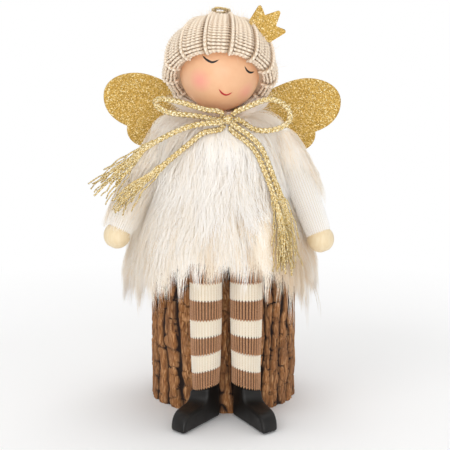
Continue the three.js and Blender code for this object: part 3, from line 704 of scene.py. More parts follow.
def with_normals(place):
    """A surface function that also gives its outward normals, from small steps in u and v."""
    def surface(u, v):
        step = 1e-4
        across = place(u + step, v) - place(u - step, v)
        down = place(u, v + step) - place(u, v - step)
        return place(u, v), unit(np.cross(down, across))
    return surface


def lining(surface, inset, rows, columns, shade=0.0):
    """A closed skin under the yarn: the same surface, drawn in, with its two ends filled, and v at each
    of its points."""
    u, v = np.meshgrid(np.arange(columns) / columns, np.linspace(0.01, 0.99, rows))
    point, normal = surface(u, v)
    points = (point - normal * inset).reshape(-1, 3)
    ends = np.arange(columns)
    rims = [ends, (ends + (rows - 1) * columns)[::-1]]
    # depth: painted shade on the skin seen between the stitches, 0 giving the full gap colour
    return Shape(points, grid_quads(rows, columns), rims=rims, depth=shade), v


# Hat

HAT_RIBS = 13
HAT_ROWS = 31
HAT_YARN_INSET = 1.0
FUZZ = 1400


def hat_place():
    """The hat: a cap's outline from the crown down to the brim, where it rolls in under itself,
    carried round the hat's axis, which is tipped back and to the side."""
    half = (HAT_OUTER - HAT_INNER) / 2
    middle = HAT_INNER + half
    cap = np.radians(np.linspace(1, HAT_COVER, 60))
    outer = HAT_OUTER - HAT_YARN_INSET
    outline = np.stack([outer * np.sin(cap), outer * np.cos(cap)], 1)
    roll = np.radians(np.linspace(0, 150, 20))[1:]
    edge = np.radians(HAT_COVER)
    radius = middle + (half - HAT_YARN_INSET) * np.cos(roll)
    past = (half - 0.6) * np.sin(roll)
    lip = np.stack(
        [radius * np.sin(edge) + past * np.cos(edge), radius * np.cos(edge) - past * np.sin(edge)], 1
    )
    outline = np.vstack([outline, lip])
    reach = lengths_along(outline)
    reach /= reach[-1]

    def place(u, v):
        radius = np.interp(v, reach, outline[:, 0])
        height = np.interp(v, reach, outline[:, 1])
        local = np.stack([radius * np.cos(TURN * u), radius * np.sin(TURN * u), height], -1)
        return HEAD + spin(spin(local, "x", -HAT_TILT_BACK), "y", HAT_TILT_SIDE)

    return place


def hat_fuzz(surface):
    """Fine fibres out of the hat's yarn, closest together at the crown: each leaves along the normal with
    a lean of its own and bends as a square."""
    point, normal = surface(rng.random(FUZZ), 1 - 0.97 * np.sqrt(rng.random(FUZZ)))
    along = normal + 0.7 * rng.normal(size=(FUZZ, 3))
    bend = 0.5 * rng.normal(size=(FUZZ, 3))
    t = np.linspace(0, 1, 4)[:, None]
    length = rng.uniform(1.8, 3.6, FUZZ)[:, None, None]
    paths = (point + 0.5 * normal)[:, None] + length * (along[:, None] * t + bend[:, None] * t ** 2)
    return strands(paths, rng.uniform(0.05, 0.08, FUZZ), normal, depth=np.ones(FUZZ))


def build_hat():
    """A rib of one front column, which stands out and is tall, and two back columns that lie deeper."""
    surface = with_normals(hat_place())
    rib = (
        np.tile([0.72, 1.14, 1.14], HAT_RIBS),
        np.tile([1.0, 0.0, 0.0], HAT_RIBS),
        np.tile([0.9, -0.35, -0.35], HAT_RIBS),
        np.tile([1.7, 1.05, 1.05], HAT_RIBS),
    )
    yarn, _ = knitted(surface, 3 * HAT_RIBS, HAT_ROWS, 1.5, 0.6, 0.12, sides=6, samples=10, rib=rib)
    skin, _ = lining(surface, 1.4, 40, 72, 0.3)
    # The hat's first colour, b89a7a, is the painted shade deep in its knit
    finish = yarn_finish("hat_yarn", "b89a7a", "f6e2c8", "fff4e3")
    add_piece("knitted_hat", join(yarn, skin), finish, "head", "hat_knit", "hat")
    add_piece("hat_fuzz", hat_fuzz(surface), finish, "head", "hat_knit", flat=True)


# Legs and arms

STRIPES = [78.3, 68.7, 58.2, 48.5, 38.3, 29.0]
LEG_COLUMNS = 31
LEG_ROWS = 60
LEG_RADIUS = 8.0
LEG_RISE = 8.3
LEG_HEM = {"left": 6.9, "right": 7.6}
HEM_LAP = 0.4
HEM_SLANT = 2.2
SLEEVE_COLUMNS = 34
SLEEVE_ROWS = 46
SLEEVE_TOP = 4.8
SLEEVE_RISE = 7.0
CUFF_BACK = 3.9
BEAD_BORE = 2.0
BORE_FLOOR = 5.4


def dome(radius, rise, first, rows):
    """A limb's rounded top, (radius, distance down): part of an ellipse, from first to 85 degrees off the
    limb's axis."""
    angle = np.radians(np.linspace(first, 85, rows))
    return np.stack([radius * np.sin(angle), rise - rise * np.cos(angle)], 1)


def tube_place(start, along, across, profile):
    """A limb: a radius read off the profile at each distance along the limb's axis."""
    profile = np.asarray(profile, float)
    other = np.cross(across, along)

    def place(u, v):
        s = v * profile[-1, 1]
        radius = np.interp(s, profile[:, 1], profile[:, 0])[..., None]
        angle = (TURN * u)[..., None]
        ring = across * np.cos(angle) + other * np.sin(angle)
        return start + along * s[..., None] + ring * radius

    return place


def build_leg(word):
    """The leg's outline is a dome at the hip, a swell at the calf and a narrower hem; each stitch takes
    its stripe from its course's height, and the courses slant towards the hem, lower on the outside."""
    top = HIP[word] + np.array([0, 0, LEG_RISE])
    length = top[2] - HEM_Z + HEM_LAP
    swell = [(8.35, 20), (8.5, 32), (8.2, 50), (7.6, 70), (LEG_HEM[word], length)]
    profile = np.vstack([dome(LEG_RADIUS, LEG_RISE, 8, 8), swell])
    down, across = np.array([0, 0, -1.0]), np.array([1.0, 0, 0])
    straight = tube_place(top, down, across, profile)

    def slanted(u, v):
        point = straight(u, v)
        share = ease((v - 0.35) / 0.65)
        point[..., 2] -= HEM_SLANT * share * SIDE[word] * (point[..., 0] - top[0]) / LEG_RADIUS
        return point

    surface = with_normals(slanted)
    yarn, course = knitted(surface, LEG_COLUMNS, LEG_ROWS, 0.66, 0.46, 0.08)
    skin, skin_v = lining(surface, 0.42, 90, 40)
    for shape, share in ((yarn, course), (skin, skin_v)):
        z = top[2] - length * share.ravel()
        stripe = np.sum(z[:, None] < STRIPES, 1) % 2
        shape.fields["stripe"] = np.repeat(stripe, len(shape.points) // len(z))
    leg = add_piece(
        f"{word}_knitted_leg", join(yarn, skin), LEG_YARN, f"{word}_leg", "leg_knit", f"{word}_leg",
    )


def arm_frame(word):
    """The shoulder, the direction from it to the bead, and a direction across the arm."""
    shoulder = np.array([SIDE[word] * ARM_SPREAD, ARM_Y, SHOULDER_Z])
    splay, lean = np.radians(ARM_SPLAY[word]), np.radians(ARM_LEAN)
    along = unit(np.array([SIDE[word] * np.tan(splay), -np.tan(lean), -1.0]))
    return shoulder, along, unit(np.cross(along, np.array([0, 1.0, 0])))


def build_sleeve(word):
    """The sleeve's outline is a small dome at the shoulder, from which it widens to a swell at the elbow,
    and a cuff that closes in towards the bead."""
    shoulder, along, across = arm_frame(word)
    start = shoulder - along * SLEEVE_RISE
    length = ARM_LENGTH - CUFF_BACK + SLEEVE_RISE
    swell = [(6.0, 13), (7.2, 24), (7.9, 38), (7.4, 52), (6.9, length - 2), (6.5, length)]
    profile = np.vstack([dome(SLEEVE_TOP, SLEEVE_TOP, 10, 7), swell])
    surface = with_normals(tube_place(start, along, across, profile))
    yarn, _ = knitted(surface, SLEEVE_COLUMNS, SLEEVE_ROWS, 0.64, 0.38, 0.05)
    skin, _ = lining(surface, 0.38, 40, 36)
    sleeve = add_piece(
        f"{word}_knitted_sleeve", join(yarn, skin), SLEEVE_YARN,
        f"{word}_arm", "sleeve_knit", f"{word}_sleeve",
    )


def build_bead(word):
    """A turned ball with the mouth of its bore at both ends, threaded on the arm's axis."""
    shoulder, along, across = arm_frame(word)
    eye = np.degrees(np.arcsin(BEAD_BORE / BEAD_RADIUS))
    upper = np.array([(0.9 * BEAD_BORE, BORE_FLOOR + 0.1), (0.01, BORE_FLOOR)])
    lower = upper[::-1] * [1, -1]
    bead = turned_shape(np.vstack([lower, ball_profile(BEAD_RADIUS, 40, 180 - eye, eye), upper]), 64)
    axes = np.stack([across, np.cross(along, across), along])
    bead.points = shoulder + along * ARM_LENGTH + bead.points @ axes
    add_piece(f"{word}_bead", bead, BEAD_WOOD, f"{word}_arm", "pale_wood", f"{word}_hand")


# Boots

BOOT_HEEL = 7.2
BOOT_TOE = 31.5
BOOT_SHAFT = 6.4
BOOT_TOP = 19.2
BOOT_WIDTH = 12
BOOT_INNER = 5
BOOT_EASE = 1.7
SOLE_Z = 0.4


def boot_profile():
    """The boot's side outline, (forward, up): an L whose corners are rounded by averaging each point
    with its neighbours along the line."""
    toe = bezier((BOOT_TOE, 0.2), (BOOT_TOE + 0.3, 7.5), (28, 9.9), (22.5, 10.2), 24)
    instep = bezier((12.4, 10.8), (8.2, 11.1), (6.6, 12.6), (BOOT_SHAFT, 16), 14)
    heel = (-BOOT_HEEL, 0)
    shaft = [(BOOT_SHAFT, 16), (BOOT_SHAFT, BOOT_TOP), (-BOOT_SHAFT, BOOT_TOP), heel]
    knots = np.vstack([[heel], toe, instep, shaft])
    reach = lengths_along(knots)
    even = np.linspace(0, reach[-1], 260, endpoint=False)
    line = np.stack([np.interp(even, reach, knots[:, k]) for k in (0, 1)], 1)
    return np.mean([np.roll(line, k, 0) for k in range(-4, 5)], axis=0)


def build_boot(word):
    """A boot sawn from board: its side outline as a plate with eased edges. The inner side is flat; the
    outer side closes in towards the toe and the heel, the toe's end is drawn back there as a square, and
    the top falls towards it."""
    boot = plate_shape(boot_profile(), BOOT_WIDTH, BOOT_EASE)
    forward, out, up = boot.points.T
    front = ease((forward - 8) / (BOOT_TOE - 8))
    back = np.clip(-forward / BOOT_HEEL, 0, 1)
    share = out / BOOT_WIDTH
    forward = forward - 3.5 * front * share ** 2
    out = (out * (1 - 0.1 * front - 0.14 * back) - BOOT_INNER) * SIDE[word]
    up = up - 2.8 * share * ease((up - 11) / 8)
    boot.points = np.stack([out, -forward, up], 1)
    if word == "left":
        boot.quads, boot.rims = boot.quads[:, ::-1], [rim[::-1] for rim in boot.rims]
    boot.points = spin(boot.points, "z", SIDE[word] * BOOT_TURN[word])
    boot.points += np.array([HIP[word][0], HIP[word][1], SOLE_Z])
    add_piece(f"{word}_black_boot", boot, BOOT_PAINT, f"{word}_boot", "boot_paint", f"{word}_boot")


# Log

def lattice_noise(u, v, columns, rows):
    """Random heights on a lattice, eased between its corners; u runs round and closes on itself."""
    table = rng.random((columns, rows + 2))
    x, y = np.mod(u, 1) * columns, np.clip(v, 0, 1) * rows
    i, j = np.floor(x).astype(int) % columns, np.floor(y).astype(int)
    a, b = ease(x - np.floor(x)), ease(y - np.floor(y))
    beside = (i + 1) % columns
    low = table[i, j] * (1 - a) + table[beside, j] * a
    high = table[i, j + 1] * (1 - a) + table[beside, j + 1] * a
    return low * (1 - b) + high * b


def cracks(u, v, columns, rows, width):
    """Long cracks: 0 along the lines where lattice noise passes its middle value, rising to 1 away from
    them; a lattice of many columns and few rows draws the lines out upright."""
    return np.clip(np.abs(2 * lattice_noise(u, v, columns, rows) - 1) / width, 0, 1)


def build_log():
    """Bark: the solid's upright ridges, their furrows wandering a little and running shallow in places,
    with cross cracks, fine cracks and fibre; the ends are sawn flat."""
    columns, rows = 540, 120
    u, v = np.meshgrid(np.arange(columns) / columns, np.linspace(0, 1, rows))
    turn = TURN * u + RIDGE_SWAY * np.sin(3 * TURN * u)
    wander = u + 0.02 * (lattice_noise(u, v, 20, 4) - 0.5) + 0.006 * (lattice_noise(u, v, 60, 16) - 0.5)
    furrow = (0.5 - 0.5 * np.cos(RIDGE_COUNT * TURN * wander)) ** 4
    furrow = furrow * np.clip(0.3 + 1.4 * lattice_noise(u, v, RIDGE_COUNT, 5), 0, 1)
    fine = 1 - cracks(wander, v, 80, 9, 0.2)
    across = 1 - cracks(wander, v, 44, 20, 0.14)
    fibre = lattice_noise(wander, v, 200, 14)
    plate = lattice_noise(wander, v, RIDGE_COUNT, 8)
    # height: low in furrows and cracks, where the bark's finish paints shade
    height = 1 - 0.85 * furrow - 0.6 * fine - 0.4 * across
    radius = LOG_RADIUS + BARK_RISE - BARK_FURROW * furrow
    radius = radius - 0.65 * fine - 0.5 * across + 0.4 * (fibre - 0.5) + 0.6 * (plate - 0.5)
    side = Shape(
        np.stack([radius * np.cos(turn), radius * np.sin(turn), LOG_HEIGHT * v], 2).reshape(-1, 3),
        grid_quads(rows, columns)[:, ::-1],
        height=height.ravel(),
    )
    ends = np.arange(columns)
    side.rims = [ends[::-1], ends + (rows - 1) * columns]
    add_piece("bark_log", side, bark_finish(), "body", "bark", "log_seat")


# Felt wings and crown

FELT = 2.0
FELT_EASE = 0.7
CROWN_AHEAD = 5.0
CROWN_GAP = 0.2
CROWN_LEAN = 45


def wing_outline():
    """The right half as five curves, and the left half as the same curves mirrored and run back."""
    half, top, rise = 68.5, 28, 14.5
    curves = [
        ((0, 6), (16, 12), (34, top), (49.5, top)),
        ((49.5, top), (half - 8, top), (half, rise + 8), (half, rise)),
        ((half, rise), (half, rise - 9), (62.5, 0), (54.5, -3)),
        ((54.5, -3), (55.5, -9.5), (50.5, -14.5), (44.5, -14.5)),
        ((44.5, -14.5), (30.5, -14.5), (16, -9), (0, -9)),
    ]
    right = np.vstack([bezier(*curve, 22) for curve in curves])
    mirrored = np.array([[-1, 1]])
    left = np.vstack([bezier(*curve[::-1], 22) * mirrored for curve in curves[::-1]])
    return np.vstack([right, left])


def build_wings():
    """Both wings as one flat plate of felt, leaning a little to the side."""
    wings = plate_shape(wing_outline()[::-1], FELT, FELT_EASE)
    wings.points = spin(wings.points, "y", WING_LEAN) + WING_MIDDLE
    add_piece("glitter_wings", wings, GLITTER, "body", "gold_felt", "wings")


def build_crown():
    """Three points on a base whose foot follows the hat's round; every corner is turned small."""
    corners = np.array([
        (-7.5, -0.4), (7.5, -0.4), (10, 9.3), (3.9, 6.6), (0, 14.7), (-3.9, 6.6), (-10, 9.3),
    ])
    before, after = np.roll(corners, 1, 0), np.roll(corners, -1, 0)
    blunt = np.array([0.8, 0.8, 1.3, 0.8, 1.3, 0.8, 1.3])[:, None]
    start = corners + unit(before - corners) * blunt
    end = corners + unit(after - corners) * blunt
    t = np.linspace(0, 1, 6)[None, :, None]
    turned = (1 - t) ** 2 * start[:, None] + 2 * t * (1 - t) * corners[:, None] + t ** 2 * end[:, None]
    outline = turned.reshape(-1, 2)
    foot = np.clip(1 - outline[:, 1] / 6, 0, 1)
    outline[:, 1] -= foot * (outline[:, 0] ** 2 / (2 * HAT_OUTER))
    crown = plate_shape(outline[::-1], FELT, FELT_EASE)
    crown.points += np.array([0, -CROWN_AHEAD, HAT_OUTER + CROWN_GAP])
    crown.points = spin(crown.points, "y", CROWN_LEAN) + HEAD
    add_piece("glitter_crown", crown, GLITTER, "head", "gold_felt", "crown")


# Gold cords

PLAIT_PITCH = 8.4
LOOP_PITCH = 7
RING_STEPS = 240
KNOT_DIAMETER = 2.1
# Tilt, roll and size of each turn of the knot
KNOT_WRAPS = [(24, 8, 1.0), (-30, -12, 0.94), (84, 4, 0.8)]
TOWARD = unit(np.array([0.0, -1.0, 0.25]))
# How far each frayed end spreads to both sides, and how many threads it has
FRAYS = {
    "tail_left_upper": (10, 26), "tail_left_lower": (8, 24),
    "tail_right_front": (8, 20), "tail_right_back": (7, 20),
}


def plait(route, reach, outward, diameter, pitch=PLAIT_PITCH, closed=False, loosen=None):
    """A flat plait of three threads: each swings across the route as a sine and over the others as a
    sine of twice the angle, a third of a turn after the last. loosen opens the plait and thins its
    threads along the way, and a loosened plait is drawn in again near its end."""
    phase = TURN * (reach / pitch + np.arange(3)[:, None] / 3)
    along = unit(np.gradient(route, axis=0))
    out = unit(outward - along * np.sum(along * outward, 1, keepdims=True))
    across = np.cross(along, out)
    spread = np.ones(len(route)) if loosen is None else 1 + 0.5 * loosen
    thread = 0.27 * diameter * (1 if loosen is None else 1 - 0.6 * np.clip(loosen, 0, 1))
    held = 1 if loosen is None else 1 - 0.8 * ease((reach / reach[-1] - 0.7) / 0.25)
    swing = (0.33 * diameter * spread * held * np.sin(phase))[..., None]
    over = (0.2 * diameter * held * np.sin(2 * phase))[..., None]
    paths = route + across * swing + out * over
    # depth: painted shade, low where a thread lies back under the others
    depth = np.clip(0.6 + 0.5 * np.sin(2 * phase) + 0.3 * np.abs(np.sin(phase)), 0, 1)
    around = np.broadcast_to(out, paths.shape)
    return sweep(paths, around, thread * 1.15, thread * 0.85, 7, closed, depth=depth)


def fray(route, reach, outward, start, spread, count):
    """Loose threads, each a twisted pair, that leave the plait past a share of its length and fan out in
    a few wisps, each with its own wave and end, as far apart as the distance past the start allows."""
    steps = 30
    leave = start + 0.25 * rng.random((count, 1)) - 0.05
    stop = 0.74 + 0.26 * rng.random((count, 1)) ** 0.6
    share = leave + (stop - leave) * np.linspace(0, 1, steps)
    middle = np.stack([np.interp(share * reach[-1], reach, route[:, k]) for k in range(3)], 2)
    along = unit(np.gradient(middle, axis=1))
    across = unit(np.cross(along, outward))
    wisps = np.array([-0.9, -0.4, 0.05, 0.45, 0.9])
    lean = (wisps[np.arange(count) % len(wisps)] + 0.16 * rng.normal(size=count))[:, None] * spread
    open_up = ((share - leave) / (1 - start)) ** 1.15
    phase = TURN * rng.random((count, 1))
    beat = rng.uniform(30, 60, (count, 1))
    wave = 0.35 * np.sin(phase + share * beat) + 0.15 * np.sin(2 * phase + share * 1.9 * beat)
    deep = rng.uniform(-0.9, 0.9, (count, 1)) * open_up
    path = middle + across * (lean * open_up + wave * ease(open_up * 4))[..., None]
    path = path + np.cross(across, along) * (1.5 * deep)[..., None]
    ply = TURN * (share * reach[-1] / 3.4 + rng.random((count, 1)))
    twist = 0.26 * (across * np.sin(ply)[..., None] + np.cross(across, along) * np.cos(ply)[..., None])
    pair = np.concatenate([path + twist, path - twist])
    # glint: painted light per thread, some threads a little darker through the depth field's painted shade
    glint = np.clip(0.7 + 0.4 * rng.random((2 * count, 1)), 0, 1)
    return sweep(pair, np.broadcast_to(outward, pair.shape), 0.3, 0.26, 4, depth=glint)


def build_bow():
    """Loops and tails of the bow, each a plait along its route; a tail's plait loosens and frays."""
    for name, knots in BOW_ROUTES.items():
        route, reach = smooth_route(knots, 0.7)
        outward = np.broadcast_to(TOWARD, route.shape)
        tail = name in FRAYS
        loosen = 1.6 * ease((reach / reach[-1] - 0.36) / 0.5) if tail else None
        braid = plait(route, reach, outward, CORD_DIAMETER, loosen=loosen)
        cord = add_piece(f"{name}_braid", braid, GOLD_BRAID, "body", "gold_cord", name)
        threads = []
        if tail:
            fan = fray(route, reach, TOWARD, 0.4, *FRAYS[name])
            threads = [add_piece(f"{name}_fray", fan, GOLD_THREADS, "body", "gold_cord")]


def build_hat_loop():
    """The hanging loop: a thinner plait along its route over the hat."""
    route, reach = smooth_route(np.array(HANGING_LOOP) + HEAD, 0.6)
    braid = plait(route, reach, unit(route - HEAD), LOOP_DIAMETER, pitch=LOOP_PITCH)
    cord = add_piece("hat_loop_braid", braid, GOLD_BRAID, "head", "gold_cord", "hat_loop")


def ring_plait(ring, outward, diameter, pitches):
    """A closed plait with a whole number of pitches round the ring."""
    reach = pitches * np.arange(RING_STEPS) / RING_STEPS * PLAIT_PITCH
    return plait(ring, reach, outward, diameter, closed=True)


def build_neck_cord():
    """The cord round the neck: a plait on a circle that is tipped forwards."""
    angle = np.linspace(0, TURN, RING_STEPS, endpoint=False)
    outward = np.stack([np.cos(angle), np.sin(angle), 0 * angle], 1)
    ring = spin(outward * NECK_RING_RADIUS, "x", -NECK_RING_TILT) + NECK_RING
    collar = ring_plait(ring, spin(outward, "x", -NECK_RING_TILT), CORD_DIAMETER, 12)
    add_piece("neck_braid", collar, GOLD_BRAID, "body", "gold_cord", "neck_cord")


def build_knot():
    """The knot: plaits on small ellipses that rise and fall as a sine of twice the angle, each tipped its
    own way about the knot's middle."""
    angle = np.linspace(0, TURN, RING_STEPS, endpoint=False)
    wraps = []
    for tilt, roll, size in KNOT_WRAPS:
        loop = [2.3 * size * np.cos(angle), 1.75 * np.sin(angle) * size, 0.5 * np.sin(2 * angle)]
        loop = spin(spin(np.stack(loop, 1), "y", tilt), "x", roll) + KNOT
        wraps.append(ring_plait(loop, unit(loop - KNOT), KNOT_DIAMETER, 2))
    add_piece("bow_knot_braid", join(*wraps), GOLD_BRAID, "body", "gold_cord", "bow_knot")


# Coat

CLOTH_TURNS = 145
CLOTH_STEPS = 120
CLOTH_THICK = 1.2
LEGS_MIDDLE = np.radians(4)
HAIRS = 25800
LOCKS = 1250
HAIR_STEPS = 7
# Turns that part the pile into pieces, and the two pieces that lie over the legs
PILE_PARTS = np.radians([-160, -115, -72, -20, 4, 27, 72, 115, 160])
LEG_PILE = {4: "left", 5: "right"}


def coat_stations(turn):
    """Radius and height of the backing cloth from the collar to the hem, at each turn round the doll
    (0 ahead, growing to the right as seen). The lap and knees push the front out, the shoulders push
    the sides out, and the back is flatter under the wings."""
    ahead = np.cos(turn)
    knees = ease((ahead - 0.5) / 0.4)
    legs = over_legs(turn)
    back = np.maximum(0, -ahead) ** 2
    side = np.sin(turn) ** 4
    one = np.ones_like(turn)
    radius = np.stack([
        9.0 * one, 14 + 2 * knees + 6 * side, 22.5 + 3 * knees - 3 * back + 8 * side,
        26.5 + 6 * knees - 4 * back + 5 * side, 31.5 + 9.5 * knees - 6 * back + 2 * side,
        40.5 + 11 * knees + 1 * back, 47 + 10.5 * knees + 1.5 * back,
    ], -1)
    height = np.stack([
        163.5 + 1.5 * ahead, 160 + 1.5 * side, 152 + 3 * side, 138 * one, 119.5 * one,
        102 + 2.2 * knees, 76 + 8 * knees + 10 * legs,
    ], -1)
    return radius, height


def over_legs(turn):
    """1 where the coat hangs over the legs, falling to 0 on both sides of them."""
    return ease((np.cos(turn - LEGS_MIDDLE) - 0.83) / 0.11)


def overhang(turn):
    """How far the pile hangs past the cloth's hem: less over the legs, and least at a parting, which falls
    off as a bell curve, between them."""
    parting = np.exp(-((turn - LEGS_MIDDLE) / np.radians(3.5)) ** 2)
    return 15.5 - 2.5 * over_legs(turn) - 6.5 * parting


def coat_table():
    """The cloth's radius and height at even steps of its own length, for a round of turns, and that
    length, in millimetres from the collar to the hem."""
    turn = np.linspace(-np.pi, np.pi, CLOTH_TURNS)
    radius, height = (catmull(values, np.linspace(0, 1, 400)) for values in coat_stations(turn))
    step = np.hypot(np.diff(radius, axis=1), np.diff(height, axis=1))
    run = np.concatenate([np.zeros((CLOTH_TURNS, 1)), np.cumsum(step, 1)], 1)
    even = np.linspace(0, 1, CLOTH_STEPS)
    rows = [
        (np.interp(even * w[-1], w, r), np.interp(even * w[-1], w, h))
        for w, r, h in zip(run, radius, height)
    ]
    return np.array([r for r, _ in rows]), np.array([h for _, h in rows]), run[:, -1]


COAT_RADIUS, COAT_HEIGHT, COAT_LENGTH = coat_table()


def coat_length(turn):
    """The cloth's length from collar to hem at each turn."""
    return np.interp(np.mod(turn + np.pi, TURN), np.linspace(0, TURN, CLOTH_TURNS), COAT_LENGTH)


def coat_place(turn, run):
    """The cloth's point at a turn and a run (mm) down from the collar, between four table places; past
    the hem the line goes on straight down and a little outwards."""
    x = np.mod(turn + np.pi, TURN) / TURN * (CLOTH_TURNS - 1)
    length = coat_length(turn)
    y = np.clip(run / length, 0, 1) * (CLOTH_STEPS - 1)
    i, j = np.minimum(x.astype(int), CLOTH_TURNS - 2), np.minimum(y.astype(int), CLOTH_STEPS - 2)
    a, b = x - i, y - j

    def read(table):
        near = table[i, j] * (1 - b) + table[i, j + 1] * b
        far = table[i + 1, j] * (1 - b) + table[i + 1, j + 1] * b
        return near * (1 - a) + far * a

    past = np.maximum(0, run - length)
    fold = 0.9 * np.cos(9 * turn) * np.clip(run / length, 0, 1) ** 2
    radius = read(COAT_RADIUS) + fold + 0.12 * past
    height = read(COAT_HEIGHT) - 0.98 * past
    return np.stack([DOLL_X + radius * np.sin(turn), DOLL_Y - radius * np.cos(turn), height], -1)


def coat_radius(turn, run):
    """How far the cloth is from the doll's upright axis."""
    return np.hypot(*(coat_place(turn, run)[:, :2] - [DOLL_X, DOLL_Y]).T)


def coat_normal(turn, run):
    """The cloth's outward normal, from small steps round it and down it."""
    across = coat_place(turn + 0.02, run) - coat_place(turn - 0.02, run)
    down = coat_place(turn, run + 0.8) - coat_place(turn, run - 0.8)
    return unit(np.cross(down, across))


def combed(turn, run, length, height, drift, curl):
    """Hairs combed down the cloth: each runs down from its root, rising to its height as one minus a
    square and lying back a little at its tip as a cube, drifting sideways in proportion to its length and
    swinging as a sine."""
    t = np.linspace(0, 1, HAIR_STEPS)
    radius = coat_radius(turn, run)
    sway = drift[:, None] * t + curl[:, None] * np.sin(TURN * 0.8 * t)
    at_turn = turn[:, None] + sway * (length / (radius + 8))[:, None]
    at_run = run[:, None] + length[:, None] * t
    rise = height[:, None] * (1 - (1 - t) ** 2) * (1 - 0.2 * t ** 3)
    return coat_place(at_turn, at_run) + coat_normal(at_turn, at_run) * rise[..., None]


def coat_roots(count):
    """Roots spread evenly over the cloth: turns and runs at random, kept with a chance that grows with
    the cloth's radius there."""
    turn = rng.uniform(-np.pi, np.pi, count * 4)
    run = rng.uniform(0, 1, count * 4) * coat_length(turn)
    radius = coat_radius(turn, run)
    kept = np.flatnonzero(rng.random(count * 4) < (radius + 8) / 64)[:count]
    return turn[kept], run[kept]


def nearest_lock(roots, locks):
    """The lock whose root lies nearest, found in blocks of hairs."""
    found = np.empty(len(roots), int)
    for start in range(0, len(roots), 3000):
        gap = np.linalg.norm(roots[start:start + 3000, None] - locks[None], axis=2)
        found[start:start + 3000] = np.argmin(gap, 1)
    return found


def gathered(own, locks, member, strength):
    """Hairs drawn to their lock's own line, more and more towards the tip."""
    pull = (strength * rng.uniform(0.35, 0.8, len(own)))[:, None] * np.linspace(0, 1, HAIR_STEPS) ** 1.4
    return own * (1 - pull[..., None]) + locks[member] * pull[..., None]


def coat_hairs():
    """Paths, tones, cloth normals and turns of all the coat's hairs. Locks differ in length, rise and lean,
    stand higher round the collar, and end at the overhang, a few as longer wisps. The pile is paler towards
    the shoulders, where its painted beige shade is taken away, and beige in a soft patch under the right
    tails, which is a painted shadow of the tails with their gold bounce light."""
    turn, run = coat_roots(HAIRS)
    lock_turn, lock_run = coat_roots(LOCKS)
    share = lock_run / coat_length(lock_turn)
    ahead = ease((np.cos(lock_turn) - 0.45) / 0.4)
    high = ease((0.35 - share) / 0.25)
    low = ease((share - 0.5) / 0.5)
    length = rng.uniform(34, 54, LOCKS)
    height = 8.5 + 2 * high + 2.5 * high * ahead - 3 * low * ahead - 1.5 * low
    height = height * rng.uniform(0.8, 1.2, LOCKS)
    drift = 0.09 * rng.normal(size=LOCKS)
    curl = 0.03 * rng.normal(size=LOCKS)
    hang = rng.uniform(0.2, 1.15, LOCKS) + 0.9 * (rng.random(LOCKS) < 0.16)

    def ended(turn, run, length, hang):
        most = coat_length(turn) + overhang(turn) * hang - run
        return np.minimum(length, np.maximum(most, 4))

    member = nearest_lock(coat_place(turn, run), coat_place(lock_turn, lock_run))
    locks = combed(
        lock_turn, lock_run, ended(lock_turn, lock_run, length, hang), height, drift, curl,
    )
    own_length = length[member] * rng.uniform(0.75, 1.12, HAIRS)
    own = combed(
        turn, run, ended(turn, run, own_length, hang[member] * rng.uniform(0.4, 1.2, HAIRS)),
        height[member] * rng.uniform(0.55, 1.15, HAIRS),
        drift[member] + 0.07 * rng.normal(size=HAIRS), curl[member] + 0.03 * rng.normal(size=HAIRS),
    )
    paths = gathered(own, locks, member, 0.5 + 0.5 * low[member])
    paths = before_wings(under_cords(clear_of_head(paths)))
    tone = 0.55 + 0.3 * rng.normal(size=LOCKS)[member] + 0.1 * rng.normal(size=HAIRS)
    x, _, z = coat_place(turn, run).T
    # Painted light: less of the pile's painted beige shade towards the shoulders
    tone = tone + 0.42 * ease((z - 112) / 35)
    # Painted shadow, with gold bounce light, of the right tails on the pile below them
    tone = tone - 0.8 * np.exp(-((x - 25) / 12) ** 2 - ((z - 110) / 26) ** 2) * (np.cos(turn) > 0)
    return paths, np.clip(tone, 0, 1), coat_normal(turn, run), turn


def ruff(count):
    """The collar's pile round the neck: hairs that stand up and outwards from the top of the cloth, shorter
    in front, and bend outwards as a square."""
    turn = rng.uniform(-np.pi, np.pi, count)
    run = rng.uniform(0, 7, count)
    root, normal = coat_place(turn, run), coat_normal(turn, run)
    outward = np.stack([np.sin(turn), -np.cos(turn), 0 * turn], 1)
    along = unit(outward * rng.uniform(0.5, 1.3, (count, 1)) + normal + 0.2 * rng.normal(size=(count, 3)))
    t = np.linspace(0, 1, HAIR_STEPS)[:, None]
    shorter = 1 - 0.65 * ease((np.cos(turn) - 0.5) / 0.35)
    length = (rng.uniform(9, 17, count) * shorter)[:, None, None]
    paths = root[:, None] + along[:, None] * length * t + outward[:, None] * 0.25 * length * t ** 2
    paths = under_cords(clear_of_head(paths))
    return paths, np.clip(0.85 + 0.15 * rng.normal(size=count), 0, 1), unit(outward + normal)


def under_cords(paths):
    """Pile pressed back under the bow: a point that a cord passes in front of, as seen from ahead, lies
    behind that cord, and the pile comes forward again beside it. Frayed ends press a wider band."""
    spots = []
    for name, knots in BOW_ROUTES.items():
        route, reach = smooth_route(knots, 2.5)
        loose = ease((reach / reach[-1] - 0.4) / 0.6) * name.startswith("tail")
        spots.append(np.column_stack([route, 1.5 + 5.5 * loose]))
    spots = np.vstack(spots)
    flat = paths.reshape(-1, 3)
    ahead = np.flatnonzero(flat[:, 1] < -14)
    for block in np.array_split(ahead, 40):
        x, _, z = flat[block].T[:, :, None]
        beside = np.hypot(x - spots[:, 0], z - spots[:, 2])
        limit = spots[:, 1] + 1.6 - 1.1 * np.maximum(0, beside - spots[:, 3])
        flat[block, 1] = np.maximum(flat[block, 1], limit.max(1))
    return flat.reshape(paths.shape)


